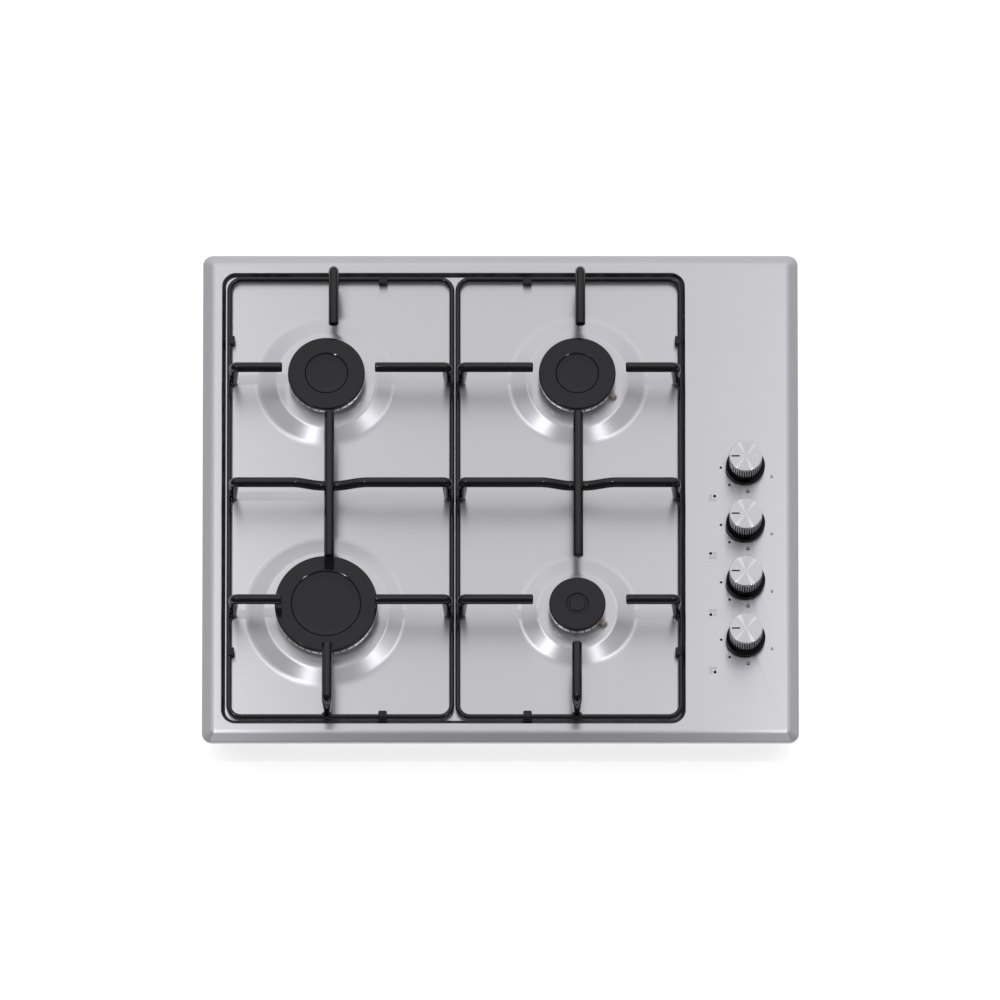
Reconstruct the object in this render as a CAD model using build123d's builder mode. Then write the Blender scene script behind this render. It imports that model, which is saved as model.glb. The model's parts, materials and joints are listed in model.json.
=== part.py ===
from build123d import *
from collections import namedtuple
import os

os.makedirs("parts", exist_ok=True)

# Built-in gas hob, four burners, side control. Millimetres.
# +X right, +Y to the back, +Z up. The origin is the middle of the plate on the worktop's plane,
# so what stands above the worktop has a positive z.

# ---- driving dimensions: plate ----
plate_width = 580.0
plate_depth = 510.0
plate_corner = 10.0
sheet = 0.8
hem_height = 3.0
rim_height = 7.0
bevel_width = 10.3
crease_corner = 2.5
crease_round = 1.4
hem_round = 1.2

# ---- pressed recess under the pan supports, as margins from the plate's edges ----
recess_left = 18.6
recess_front = 18.5
recess_rear = 19.7
control_strip = 110.0
recess_depth = 3.0
recess_corner = 14.0
recess_wall = 1.8

# ---- raised burner discs ----
disc_rise = 4.5
disc_round = 3.0

# ---- pan supports ----
loop_wire = 5.0
loop_corner = 12.0
loop_margin_left = 7.5
loop_margin_right = 4.8
loop_margin_front = 6.3
loop_margin_rear = 7.8
loop_gap = 5.9
loop_lift = 4.8
finger_bar = 9.8
finger_height = 42.0
finger_bend = 5.4
leg_end = 5.8
leg_inset = 4.6
tip_round = 1.6
tip_gap_left = 43.0
tip_gap_right = 47.2
tip_gap_rear = 43.5
tip_gap_front = 47.5
bar_gap_rear = 47.5
bar_gap_front = 42.0
side_fingers_rear = 1.0
side_fingers_front = 2.8
joggle_half = 32.0
joggle_run = 21.0
joggle_bend = 30.0
weld_sink = 0.4
foot_length = 8.4
foot_outer = 1.2
foot_inner = 5.2
foot_wrap = 0.9
foot_round = 1.4
foot_side_y = 163.0
foot_left_shift = 55.0
foot_right_shift = 48.5

# ---- burners ----
burner_shift_left = -13.8
burner_shift_right = 7.9
rear_row = 121.5
front_row = -119.5
head_height = 13.2
crown_height = 4.2
crown_inset = 0.6
crown_wall = 4.0
head_wall = 2.5
head_taper = 5.0
port_width = 1.5
port_height = 3.2
cap_height = 5.9
cap_round = 1.2
cap_rib_depth = 1.5
cap_rib_width = 2.0
cap_dish = 0.9
cap_step = 0.45
cap_slope = 6.0
cap_groove_depth = 0.8
cap_groove_width = 3.5

# ---- burner cups and injectors under the plate ----
cup_wall = 2.0
cup_collar = 1.0
cup_flange = 9.0
cup_flange_thickness = 2.5
cup_depth = 38.0
cup_base = 16.0
throat_depth = 8.0
injector_hex = 9.0
injector_height = 6.0
injector_shank = 6.0
injector_screwed = 7.0
injector_bore = 1.0
screw_diameter = 4.0
screw_head = 7.0
screw_head_height = 1.8
screw_offset = 4.7
screw_length = 7.0

# ---- spark electrodes and flame sensors ----
electrode_diameter = 5.6
electrode_offset = 1.0
electrode_above = 8.5
electrode_below = 16.0
electrode_tip = 1.6
electrode_tip_height = 3.0
electrode_shoulder = 9.2
electrode_shoulder_height = 4.0
sensor_diameter = 4.4
sensor_offset = 0.2
sensor_above = 9.5
sensor_below = 14.0
sensor_nut = 9.0
sensor_nut_height = 5.0
notch_clearance = 0.9

# ---- knobs, taps and gas rail ----
knob_from_right = 51.5
knob_pitch = 60.0
first_knob_y = 30.8
knob_lift = 4.5
skirt_diameter = 38.0
skirt_height = 6.0
skirt_lip = 1.5
skirt_edge = 2.4
skirt_hollow = 2.1
knob_diameter = 32.0
knob_height = 20.5
knob_wall = 2.2
knob_hub = 13.0
knob_bore_depth = 15.0
knob_edge = 0.8
flute_count = 36
flute_depth = 0.5
flute_width = 1.2
pointer_length = 8.0
pointer_width = 1.5
pointer_depth = 0.4
pointer_reach = 9.8
spindle_diameter = 8.0
spindle_flat = 1.2
spindle_travel = 3.5
collar_diameter = 12.0
collar_height = 1.5
tang_width = 7.0
tang_thickness = 2.5
tang_engaged = 4.0
seal_diameter = 17.0
seal_height = 2.5
tap_top = -4.0
tap_diameter = 26.0
tap_height = 34.0
tap_bonnet = 2.2
plug_bore = 4.0
plug_height = 20.0
plug_top_diameter = 17.0
plug_end_diameter = 12.0
outlet_diameter = 12.0
outlet_reach = 20.0
gas_bore = 6.0
gas_level = -24.0
rail_width = 14.0
rail_height = 18.0
rail_offset = 15.5
rail_bore = 10.0
rail_front = 22.0
rail_past_notch = 7.0
bracket_sheet = 1.5
bracket_width = 16.0

# ---- feed pipes ----
pipe_diameter = 8.0
pipe_bore = 6.0
pipe_bend = 22.0
port_diameter = 12.0
port_reach = 8.0
pipe_run_in = 26.0

# ---- gas inlet: G1/2 outside thread, drawn at its major diameter ----
inlet_thread_diameter = 20.96
inlet_thread_length = 11.0
inlet_thread_chamfer = 0.8
inlet_bore = 13.0
elbow_diameter = 25.0
elbow_reach = 16.0
elbow_hex_height = 5.0
elbow_top = 11.0
elbow_round = 3.5

# ---- bottom casing ----
casing_side_inset = 14.0
casing_end_inset = 17.5
casing_depth = 45.0
casing_sheet = 0.8
casing_corner = 6.0
casing_round = 3.5
notch_width = 62.0
notch_depth = 52.0
dimple_top = 12.0
dimple_base = 17.0
dimple_height = 2.6
post_diameter = 8.0
post_left = 31.0
post_right = 165.0
post_row = 205.0
casing_screw_head_height = 2.0
casing_screw_length = 8.0
vent_length = 34.0
vent_width = 4.0
vent_pitch = 10.0
vent_count = 9
vent_spread = 150.0
vent_shift = 25.0

# ---- worktop seal and clamps ----
seal_strip_width = 7.0
seal_strip_thickness = 2.0
seal_strip_inset = 1.4
clamp_width = 16.0
clamp_sheet = 1.2
clamp_reach = 11.0
clamp_tab = 22.0
clamp_top = -12.0
clamp_hole_drop = 8.0
clamp_screw_length = 6.0
clamp_spread = 150.0

# ---- ignition and mains parts ----
generator_length = 64.0
generator_width = 34.0
generator_height = 24.0
generator_x = -47.0
generator_gap = 25.0
tower_diameter = 7.0
tower_height = 6.0
terminal_length = 40.0
terminal_width = 20.0
terminal_height = 18.0
terminal_x = 118.0
terminal_gap = 16.0
gland_outer = 16.0
gland_bore = 7.5
gland_length = 8.0
gland_groove = 12.0
gland_level = -28.0
switch_length = 14.0
switch_width = 6.0
switch_height = 10.0
switch_strip = 2.0

# ---- clearances ----
seat_gap = 0.2
slip_gap = 0.4
running_gap = 0.05
touch_gap = 0.1
level_tolerance = 0.01

# ---- levels and places that follow ----
floor_z = rim_height - recess_depth
disc_z = floor_z + disc_rise
disc_under_z = disc_z - sheet
rim_under_z = rim_height - sheet
recess_x0 = -plate_width / 2 + recess_left
recess_x1 = plate_width / 2 - control_strip
recess_y0 = -plate_depth / 2 + recess_front
recess_y1 = plate_depth / 2 - recess_rear
loop_z = floor_z + loop_lift
finger_z = floor_z + finger_height
taper_z = finger_z - 1.5 * finger_bend
finger_rows = (rear_row - side_fingers_rear, front_row - side_fingers_front)
leg_end_z = loop_z - loop_wire / 2
loop_width = (recess_x1 - recess_x0 - loop_margin_left - loop_margin_right - loop_gap) / 2
loop_y0 = recess_y0 + loop_margin_front
loop_y1 = recess_y1 - loop_margin_rear
left_loop_x0 = recess_x0 + loop_margin_left
right_loop_x0 = recess_x1 - loop_margin_right - loop_width
left_x = left_loop_x0 + loop_width / 2 + burner_shift_left
right_x = right_loop_x0 + loop_width / 2 + burner_shift_right
head_z = disc_z + seat_gap
head_top_z = head_z + head_height
cap_z = head_top_z + seat_gap
cap_top_z = cap_z + cap_height
knob_x = plate_width / 2 - knob_from_right
skirt_z = rim_height + knob_lift
knob_z = skirt_z + skirt_height
knob_top_z = knob_z + knob_height
rail_x = knob_x + rail_offset
casing_floor_z = -casing_depth + casing_sheet
casing_x = plate_width / 2 - casing_side_inset
casing_y = plate_depth / 2 - casing_end_inset
notch_x = casing_x - notch_width
notch_y = casing_y - notch_depth

Burner = namedtuple(
    "Burner",
    "name x y cap ring_outer ring_inner mark grooved cup ports electrode_angle knob lane_shift lane_end",
)
burners = [
    Burner("rear_left", left_x, rear_row, 75.0, 133.2, 97.8, 41.0, False, 34.0, 32, 118, 1, 0, 149.0),
    Burner("rear_right", right_x, rear_row, 75.0, 133.2, 97.8, 41.0, False, 34.0, 32, -27, 0, 0, 0),
    Burner("front_left", left_x, front_row, 100.0, 154.6, 120.6, 67.0, False, 48.0, 44, 118, 2, 25.5, 109.0),
    Burner("front_right", right_x, front_row, 55.0, 113.4, 77.8, 22.0, True, 22.0, 24, -30, 3, 0, 0),
]
sensor_angle = 62

# the end fingers and the long bar stand to the right of the burners' centres by these shifts
Support = namedtuple("Support", "name x0 burner_x rear_shift bar_shift front_shift")
supports = [
    Support("left", left_loop_x0, left_x, 7.0, 3.0, 1.0),
    Support("right", right_loop_x0, right_x, 3.0, 0.8, -0.5),
]


def polar(burner, radius, angle):
    """Point at a radius and angle from a burner's centre."""
    spot = Vector(radius, 0, 0).rotate(Axis.Z, angle)
    return (burner.x + spot.X, burner.y + spot.Y)


def electrode_spot(burner):
    return polar(burner, burner.cap / 2 + electrode_offset, burner.electrode_angle)


def sensor_spot(burner):
    return polar(burner, burner.cap / 2 + sensor_offset, sensor_angle)


def screw_spots(burner):
    reach = burner.cup / 2 + screw_offset
    return [polar(burner, reach, 90), polar(burner, reach, -90)]


def knob_y(number):
    return first_knob_y - knob_pitch * number


knob_spots = [(knob_x, knob_y(number)) for number in range(len(burners))]


def save(part, name):
    """Label a finished piece and write it."""
    part.label = name
    export_step(part, f"parts/{name}.step")


# ---- hob plate: one pressed sheet ----
recess_size = (recess_x1 - recess_x0, recess_y1 - recess_y0)
recess_middle = ((recess_x0 + recess_x1) / 2, (recess_y0 + recess_y1) / 2)


def pressed_form():
    """The solid under the plate's upper face: rim, recess and raised discs."""
    with BuildPart() as form:
        with BuildSketch():
            RectangleRounded(plate_width, plate_depth, plate_corner)
        extrude(amount=hem_height)
        with BuildSketch(Plane.XY.offset(hem_height)):
            RectangleRounded(plate_width, plate_depth, plate_corner)
        with BuildSketch(Plane.XY.offset(rim_height)):
            RectangleRounded(plate_width - 2 * bevel_width, plate_depth - 2 * bevel_width, crease_corner)
        loft(ruled=True)
        with BuildSketch(Plane.XY.offset(rim_height)):
            with Locations(recess_middle):
                RectangleRounded(*recess_size, recess_corner)
        with BuildSketch(Plane.XY.offset(floor_z)):
            with Locations(recess_middle):
                RectangleRounded(
                    recess_size[0] - 2 * recess_wall,
                    recess_size[1] - 2 * recess_wall,
                    recess_corner - recess_wall,
                )
        loft(ruled=True, mode=Mode.SUBTRACT)
        for burner in burners:
            with Locations((burner.x, burner.y, floor_z + disc_rise / 2)):
                Cone(burner.ring_outer / 2, burner.ring_inner / 2, disc_rise)
    return form


pressed = pressed_form()
with BuildPart() as plate_hollow:
    add(pressed.part.moved(Location((0, 0, -sheet))))
    with BuildSketch(Plane.XY.offset(-sheet)):
        RectangleRounded(plate_width - 2 * sheet, plate_depth - 2 * sheet, plate_corner - sheet)
    extrude(amount=disc_z, mode=Mode.INTERSECT)

with BuildPart() as hob_plate:
    add(pressed.part)
    for level, radius in ((hem_height, hem_round), (rim_height, crease_round)):
        low, high = level - level_tolerance, level + level_tolerance
        fillet(hob_plate.edges().filter_by_position(Axis.Z, low, high), radius)
    for burner in burners:
        rings = hob_plate.edges().filter_by(GeomType.CIRCLE).filter_by(
            lambda e: abs(e.arc_center.X - burner.x) < 1 and abs(e.arc_center.Y - burner.y) < 1
        )
        fillet(rings, disc_round)
    add(plate_hollow.part, mode=Mode.SUBTRACT)
    for burner in burners:
        with Locations((burner.x, burner.y)):
            Cylinder(burner.cup / 2 + slip_gap, 2 * disc_z, mode=Mode.SUBTRACT)
        with Locations(electrode_spot(burner)):
            Cylinder(electrode_diameter / 2 + slip_gap, 2 * disc_z, mode=Mode.SUBTRACT)
        with Locations(sensor_spot(burner)):
            Cylinder(sensor_diameter / 2 + slip_gap, 2 * disc_z, mode=Mode.SUBTRACT)
        with Locations(*screw_spots(burner)):
            Cylinder(screw_diameter / 2 + touch_gap, 2 * disc_z, mode=Mode.SUBTRACT)
    with Locations(*knob_spots):
        Cylinder(spindle_diameter / 2 + slip_gap, 2 * rim_height, mode=Mode.SUBTRACT)
save(hob_plate.part, "hob_plate")


# ---- pan supports: enamelled round bars welded on a wire loop ----
def bent_finger(length):
    """A finger along +X whose leg stands at x = 0 and whose tip is at x = length."""
    with BuildPart() as finger:
        with BuildLine(Plane.XZ):
            FilletPolyline((0, taper_z), (0, finger_z), (length, finger_z), radius=finger_bend)
        with BuildSketch(Plane.XY.offset(taper_z)):
            Circle(finger_bar / 2)
        sweep()
        with BuildSketch(Plane.XY.offset(taper_z)):
            Circle(finger_bar / 2)
        with BuildSketch(Plane.XY.offset(leg_end_z)):
            Circle(leg_end / 2)
        loft()
        fillet(finger.faces().sort_by(Axis.X)[-1].edges(), tip_round)
    return finger.part


def cross_bar(reach, middle):
    """The bar from leg to leg along X, joggled down round x = middle."""
    drop = finger_bar - weld_sink
    inner, outer = joggle_half - joggle_run, joggle_half
    with BuildPart() as bar:
        with BuildLine(Plane.XZ):
            FilletPolyline(
                (0, taper_z),
                (0, finger_z),
                (middle - outer, finger_z),
                (middle - inner, finger_z - drop),
                (middle + inner, finger_z - drop),
                (middle + outer, finger_z),
                (reach, finger_z),
                (reach, taper_z),
                radius=[finger_bend] + [joggle_bend] * 4 + [finger_bend],
            )
        with BuildSketch(Plane.XY.offset(taper_z)):
            Circle(finger_bar / 2)
        sweep()
        for foot_x in (0, reach):
            with BuildSketch(Plane.XY.offset(taper_z)):
                with Locations((foot_x, 0)):
                    Circle(finger_bar / 2)
            with BuildSketch(Plane.XY.offset(leg_end_z)):
                with Locations((foot_x, 0)):
                    Circle(leg_end / 2)
            loft()
    return bar.part


def pan_support(place):
    """One support: loop, four side fingers, two end fingers, cross bar and long bar."""
    x0, x1 = place.x0, place.x0 + loop_width
    leg_x0, leg_x1 = x0 + leg_inset, x1 - leg_inset
    leg_y0, leg_y1 = loop_y0 + leg_inset, loop_y1 - leg_inset
    bar_x = place.burner_x + place.bar_shift
    bar_front, bar_rear = front_row + bar_gap_front, rear_row - bar_gap_rear
    left_finger = bent_finger(place.burner_x - tip_gap_left - leg_x0)
    right_finger = bent_finger(leg_x1 - place.burner_x - tip_gap_right)
    rear_finger = bent_finger(leg_y1 - rear_row - tip_gap_rear)
    front_finger = bent_finger(front_row - tip_gap_front - leg_y0)
    across = cross_bar(leg_x1 - leg_x0, bar_x - leg_x0)
    with BuildPart() as support:
        with BuildLine(Plane.XY.offset(loop_z)) as loop_path:
            corners = [(x0, loop_y0), (x0, loop_y1), (x1, loop_y1), (x1, loop_y0)]
            FilletPolyline(*corners, radius=loop_corner, close=True)
        start = loop_path.line @ 0
        with BuildSketch(Plane(origin=start, z_dir=loop_path.line % 0)):
            Circle(loop_wire / 2)
        sweep()
        for row in finger_rows:
            add(left_finger.moved(Location((leg_x0, row, 0))))
            add(right_finger.moved(Location((leg_x1, row, 0), (0, 0, 180))))
        add(rear_finger.moved(Location((place.burner_x + place.rear_shift, leg_y1, 0), (0, 0, -90))))
        add(front_finger.moved(Location((place.burner_x + place.front_shift, leg_y0, 0), (0, 0, 90))))
        add(across.moved(Location((leg_x0, 0, 0))))
        with BuildSketch(Plane(origin=(bar_x, bar_front, finger_z), z_dir=(0, 1, 0))):
            Circle(finger_bar / 2)
        extrude(amount=bar_rear - bar_front)
        ends = support.faces().filter_by(GeomType.PLANE).filter_by(Axis.Y)
        fillet(ends.edges().filter_by(GeomType.CIRCLE), tip_round)
    save(support.part, f"pan_support_{place.name}")
    return support.part


def foot_block():
    """Soft clip for a wire that runs along X, with its body on the -Y side of the wire."""
    bottom_z = floor_z + seat_gap
    top_z = loop_z + loop_wire / 2 + foot_wrap
    with BuildPart() as block:
        with BuildSketch(Plane.XY.offset(bottom_z)):
            with Locations((0, (foot_outer - foot_inner) / 2)):
                Rectangle(foot_length, foot_outer + foot_inner)
        extrude(amount=top_z - bottom_z)
        fillet(block.edges().filter_by(Axis.Z).group_by(Axis.Y)[0], foot_round)
        fillet(block.faces().sort_by(Axis.Z)[-1].edges(), foot_round / 2)
    return block.part


def support_feet(wire_part, spots, name):
    """Four clips under the loop; each spot is x, y and the turn that faces it inwards."""
    block = foot_block()
    with BuildPart() as feet:
        for x, y, turn in spots:
            add(block.moved(Location((x, y, 0), (0, 0, turn))))
        add(wire_part, mode=Mode.SUBTRACT)
    save(feet.part, name)


foot_shift = {"left": foot_left_shift, "right": -foot_right_shift}
for place in supports:
    end_x = place.burner_x + foot_shift[place.name]
    outer_x = place.x0 if place.name == "left" else place.x0 + loop_width
    outer_turn = 90 if place.name == "left" else -90
    spots = [(end_x, loop_y1, 0), (end_x, loop_y0, 180)]
    spots += [(outer_x, foot_side_y, outer_turn), (outer_x, -foot_side_y, outer_turn)]
    support_feet(pan_support(place), spots, f"support_feet_{place.name}")


# ---- burners ----
def burner_cap(burner):
    """Enamelled lid: flat top with a dished middle or a ring groove, and a rib that centres it."""
    radius, mark = burner.cap / 2, burner.mark / 2
    rib_outer = radius - crown_inset - crown_wall - slip_gap
    rib_inner = rib_outer - cap_rib_width
    underside = [(0, cap_z), (rib_inner, cap_z), (rib_inner, cap_z - cap_rib_depth)]
    underside += [(rib_outer, cap_z - cap_rib_depth), (rib_outer, cap_z), (radius, cap_z)]
    if burner.grooved:
        floor = cap_top_z - cap_groove_depth
        top = [(mark, cap_top_z), (mark - cap_groove_depth, floor)]
        top += [(mark - cap_groove_width + cap_groove_depth, floor)]
        top += [(mark - cap_groove_width, cap_top_z), (0, cap_top_z)]
    else:
        top = [(mark, cap_top_z), (mark - cap_step, cap_top_z - cap_step)]
        top += [(mark - cap_slope, cap_top_z - cap_dish), (0, cap_top_z - cap_dish)]
    with BuildPart() as cap:
        with BuildSketch(Plane.XZ):
            with BuildLine():
                Polyline(*underside, (radius, cap_top_z), *top, close=True)
            make_face()
        revolve(axis=Axis.Z)
        rims = cap.edges().filter_by(GeomType.CIRCLE).filter_by(lambda e: abs(e.radius - radius) < 0.01)
        fillet(rims, cap_round)
    return cap.part


def burner_head(burner):
    """Aluminium crown with flame ports all round, a web, and a throat that drops into the cup."""
    crown = burner.cap / 2 - crown_inset
    chamber = crown - crown_wall
    foot = crown - head_taper
    throat = burner.cup / 2 - cup_wall - slip_gap
    port_z = head_top_z - port_height
    crown_z = head_top_z - crown_height
    web_z = port_z - head_wall
    outline = [(throat - head_wall, head_z - throat_depth), (throat, head_z - throat_depth)]
    outline += [(throat, web_z), (foot - head_wall, web_z), (foot - head_wall, head_z)]
    outline += [(foot, head_z), (foot, head_z + head_wall), (crown, crown_z), (crown, head_top_z)]
    outline += [(chamber, head_top_z), (chamber, port_z), (throat - head_wall, port_z)]
    with BuildPart() as head:
        with BuildSketch(Plane.XZ):
            with BuildLine():
                Polyline(*outline, close=True)
            make_face()
        revolve(axis=Axis.Z)
        with BuildSketch(Plane.XY.offset(port_z)):
            with PolarLocations(crown - crown_wall / 2, burner.ports):
                Rectangle(3 * crown_wall, port_width)
        extrude(amount=2 * port_height, mode=Mode.SUBTRACT)
    return head.part


def burner_cup(burner):
    """Die-cast cup: collar through the plate, flange under it, solid base with the gas way."""
    radius = burner.cup / 2
    flange = radius + cup_flange
    collar_z = disc_z + cup_collar
    bottom_z = disc_under_z - cup_depth
    floor = bottom_z + cup_base
    flange_z = disc_under_z - cup_flange_thickness
    outline = [(0, bottom_z), (radius, bottom_z), (radius, flange_z), (flange, flange_z)]
    outline += [(flange, disc_under_z), (radius, disc_under_z), (radius, collar_z)]
    outline += [(radius - cup_wall, collar_z), (radius - cup_wall, floor), (0, floor)]
    with BuildPart() as cup:
        with BuildSketch(Plane.XZ):
            with BuildLine():
                Polyline(*outline, close=True)
            make_face()
        revolve(axis=Axis.Z)
        with BuildSketch(Plane.YZ):
            with Locations((0, gas_level)):
                Circle(port_diameter / 2)
        extrude(amount=radius + port_reach)
        with BuildSketch(Plane.YZ):
            with Locations((0, gas_level)):
                Circle(gas_bore / 2)
        extrude(amount=radius + port_reach, mode=Mode.SUBTRACT)
        with BuildSketch(Plane.XY.offset(gas_level)):
            Circle(injector_shank / 2 + running_gap)
        extrude(amount=floor - gas_level, mode=Mode.SUBTRACT)
        with BuildSketch(Plane.XY.offset(flange_z)):
            with Locations((0, radius + screw_offset), (0, -radius - screw_offset)):
                Circle(screw_diameter / 2 + touch_gap)
        extrude(amount=cup_flange_thickness, mode=Mode.SUBTRACT)
    return cup.part


def placed(part, burner, name):
    """Move a piece from the axis to its burner and write it."""
    here = part.moved(Location((burner.x, burner.y, 0)))
    save(here, name)
    return here


def notched(head, burner):
    """Cut the pockets that clear the electrode and the flame sensor."""
    with BuildPart() as cut:
        add(head)
        for spot, size in (
            (electrode_spot(burner), electrode_diameter),
            (sensor_spot(burner), sensor_diameter),
        ):
            with Locations((spot[0] - burner.x, spot[1] - burner.y, head_z)):
                Cylinder(size / 2 + notch_clearance, 4 * head_height, mode=Mode.SUBTRACT)
    return cut.part


for burner in burners:
    placed(burner_cup(burner), burner, f"burner_cup_{burner.name}")
    placed(notched(burner_head(burner), burner), burner, f"burner_head_{burner.name}")
    placed(burner_cap(burner), burner, f"burner_cap_{burner.name}")

# ---- injectors: brass jets screwed into the cups' bases ----
cup_floor_z = disc_under_z - cup_depth + cup_base
with BuildPart() as injectors:
    burner_spots = [(burner.x, burner.y) for burner in burners]
    with BuildSketch(Plane.XY.offset(cup_floor_z)):
        with Locations(*burner_spots):
            RegularPolygon(injector_hex / 2, 6, major_radius=False)
    extrude(amount=injector_height)
    with BuildSketch(Plane.XY.offset(cup_floor_z - injector_screwed)):
        with Locations(*burner_spots):
            Circle(injector_shank / 2)
    extrude(amount=injector_screwed)
    with BuildSketch(Plane.XY.offset(cup_floor_z - injector_screwed)):
        with Locations(*burner_spots):
            Circle(injector_bore / 2)
    extrude(amount=injector_screwed + injector_height, mode=Mode.SUBTRACT)
save(injectors.part, "injectors")

# ---- screws that hold the cups to the plate ----
with BuildPart() as burner_screws:
    all_screws = [spot for burner in burners for spot in screw_spots(burner)]
    with BuildSketch(Plane.XY.offset(disc_z)):
        with Locations(*all_screws):
            Circle(screw_head / 2)
    extrude(amount=screw_head_height)
    with BuildSketch(Plane.XY.offset(disc_z)):
        with Locations(*all_screws):
            Circle(screw_diameter / 2)
    extrude(amount=-screw_length)
save(burner_screws.part, "burner_screws")

# ---- spark electrodes: ceramic rods, each with a shoulder under the plate and a metal tip ----
with BuildPart() as spark_electrodes:
    electrode_spots = [electrode_spot(burner) for burner in burners]
    with BuildSketch(Plane.XY.offset(disc_under_z - electrode_below)):
        with Locations(*electrode_spots):
            Circle(electrode_diameter / 2)
    extrude(amount=electrode_below + sheet + electrode_above)
    with BuildSketch(Plane.XY.offset(disc_under_z)):
        with Locations(*electrode_spots):
            Circle(electrode_shoulder / 2)
    extrude(amount=-electrode_shoulder_height)
    with BuildSketch(Plane.XY.offset(disc_z + electrode_above)):
        with Locations(*electrode_spots):
            Circle(electrode_tip / 2)
    extrude(amount=electrode_tip_height)
save(spark_electrodes.part, "spark_electrodes")

# ---- flame sensors: thermocouple probes with a nut under the plate ----
with BuildPart() as flame_sensors:
    sensor_spots = [sensor_spot(burner) for burner in burners]
    with BuildSketch(Plane.XY.offset(disc_under_z - sensor_below)):
        with Locations(*sensor_spots):
            Circle(sensor_diameter / 2)
    extrude(amount=sensor_below + sheet + sensor_above)
    fillet(flame_sensors.faces().group_by(Axis.Z)[-1].edges(), sensor_diameter / 2 - sheet)
    with BuildSketch(Plane.XY.offset(disc_under_z - sensor_nut_height)):
        with Locations(*sensor_spots):
            RegularPolygon(sensor_nut / 2, 6, major_radius=False)
    extrude(amount=sensor_nut_height)
save(flame_sensors.part, "flame_sensors")

# ---- bottom casing: a pressed tray with a notch at the rear right for the gas inlet ----
post_spots = [(x, y) for x in (-plate_width / 2 + post_left, post_right) for y in (-post_row, post_row)]
clamp_spots = [(side, y) for side in (-1, 1) for y in (-clamp_spread, clamp_spread)]
clamp_hole_z = clamp_top - clamp_hole_drop
rail_middle = rail_x + rail_width / 2
with BuildPart() as bottom_casing:
    with BuildSketch(Plane.XY.offset(-casing_depth)):
        with BuildLine():
            Polyline(
                (-casing_x, -casing_y),
                (casing_x, -casing_y),
                (casing_x, notch_y),
                (notch_x, notch_y),
                (notch_x, casing_y),
                (-casing_x, casing_y),
                close=True,
            )
        make_face()
    extrude(amount=casing_depth + rim_under_z)
    fillet(bottom_casing.edges().filter_by(Axis.Z), casing_corner)
    fillet(bottom_casing.faces().sort_by(Axis.Z)[0].edges(), casing_round)
    with Locations(*[(x, y, -casing_depth + dimple_height / 2) for x, y in post_spots]):
        Cone(dimple_base / 2, dimple_top / 2, dimple_height, mode=Mode.SUBTRACT)
    offset(amount=-casing_sheet, openings=bottom_casing.faces().sort_by(Axis.Z)[-1])
    with Locations(*post_spots):
        Cylinder(screw_diameter / 2 + touch_gap, 2 * casing_depth, mode=Mode.SUBTRACT)
    with BuildSketch(Plane.XY.offset(-casing_depth)):
        for bank in (-vent_spread, 0, vent_spread):
            with Locations((bank - vent_shift, 0)):
                with GridLocations(vent_pitch, 1, vent_count, 1):
                    SlotOverall(vent_length, vent_width, rotation=90)
    extrude(amount=casing_sheet, mode=Mode.SUBTRACT)
    with BuildSketch(Plane.XZ.offset(-notch_y - casing_sheet)):
        with Locations((rail_middle, gas_level)):
            Rectangle(rail_width + 2 * slip_gap, rail_height + 2 * slip_gap)
    extrude(amount=3 * casing_sheet, mode=Mode.SUBTRACT)
    with Locations(Location((terminal_x, casing_y, gland_level), (90, 0, 0))):
        Cylinder(gland_groove / 2 + running_gap, 6 * casing_sheet, mode=Mode.SUBTRACT)
    with Locations(*[Location((side * casing_x, y, clamp_hole_z), (0, 90, 0)) for side, y in clamp_spots]):
        Cylinder(screw_diameter / 2 + touch_gap, 6 * casing_sheet, mode=Mode.SUBTRACT)
save(bottom_casing.part, "bottom_casing")

# ---- posts under the plate and the screws that hold the casing to them ----
dimple_z = -casing_depth + dimple_height
with BuildPart() as casing_posts:
    with BuildSketch(Plane.XY.offset(dimple_z + casing_sheet)):
        with Locations(*post_spots):
            Circle(post_diameter / 2)
            Circle(screw_diameter / 2 + running_gap, mode=Mode.SUBTRACT)
    extrude(amount=floor_z - sheet - dimple_z - casing_sheet)
save(casing_posts.part, "casing_posts")

with BuildPart() as casing_screws:
    with BuildSketch(Plane.XY.offset(dimple_z)):
        with Locations(*post_spots):
            Circle(screw_head / 2)
    extrude(amount=-casing_screw_head_height)
    with BuildSketch(Plane.XY.offset(dimple_z)):
        with Locations(*post_spots):
            Circle(screw_diameter / 2)
    extrude(amount=casing_screw_length)
save(casing_screws.part, "casing_screws")

# ---- foam strip between the rim and the worktop ----
strip_width, strip_depth = plate_width - 2 * seal_strip_inset, plate_depth - 2 * seal_strip_inset
with BuildPart() as worktop_seal:
    with BuildSketch():
        RectangleRounded(strip_width, strip_depth, plate_corner - seal_strip_inset)
        Rectangle(
            strip_width - 2 * seal_strip_width,
            strip_depth - 2 * seal_strip_width,
            mode=Mode.SUBTRACT,
        )
    extrude(amount=seal_strip_thickness)
save(worktop_seal.part, "worktop_seal")

# ---- clamps that pull the hob down on the worktop ----
with BuildPart() as clamp_brackets:
    leg_z = clamp_top - clamp_tab
    for side, y in clamp_spots:
        wall = side * casing_x
        with Locations((wall + side * clamp_sheet / 2, y, clamp_top - clamp_tab / 2)):
            Box(clamp_sheet, clamp_width, clamp_tab)
        with Locations((wall + side * clamp_reach / 2, y, leg_z + clamp_sheet / 2)):
            Box(clamp_reach, clamp_width, clamp_sheet)
        with Locations(Location((wall, y, clamp_hole_z), (0, 90, 0))):
            Cylinder(screw_diameter / 2 + touch_gap, 4 * clamp_sheet, mode=Mode.SUBTRACT)
save(clamp_brackets.part, "clamp_brackets")

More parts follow.
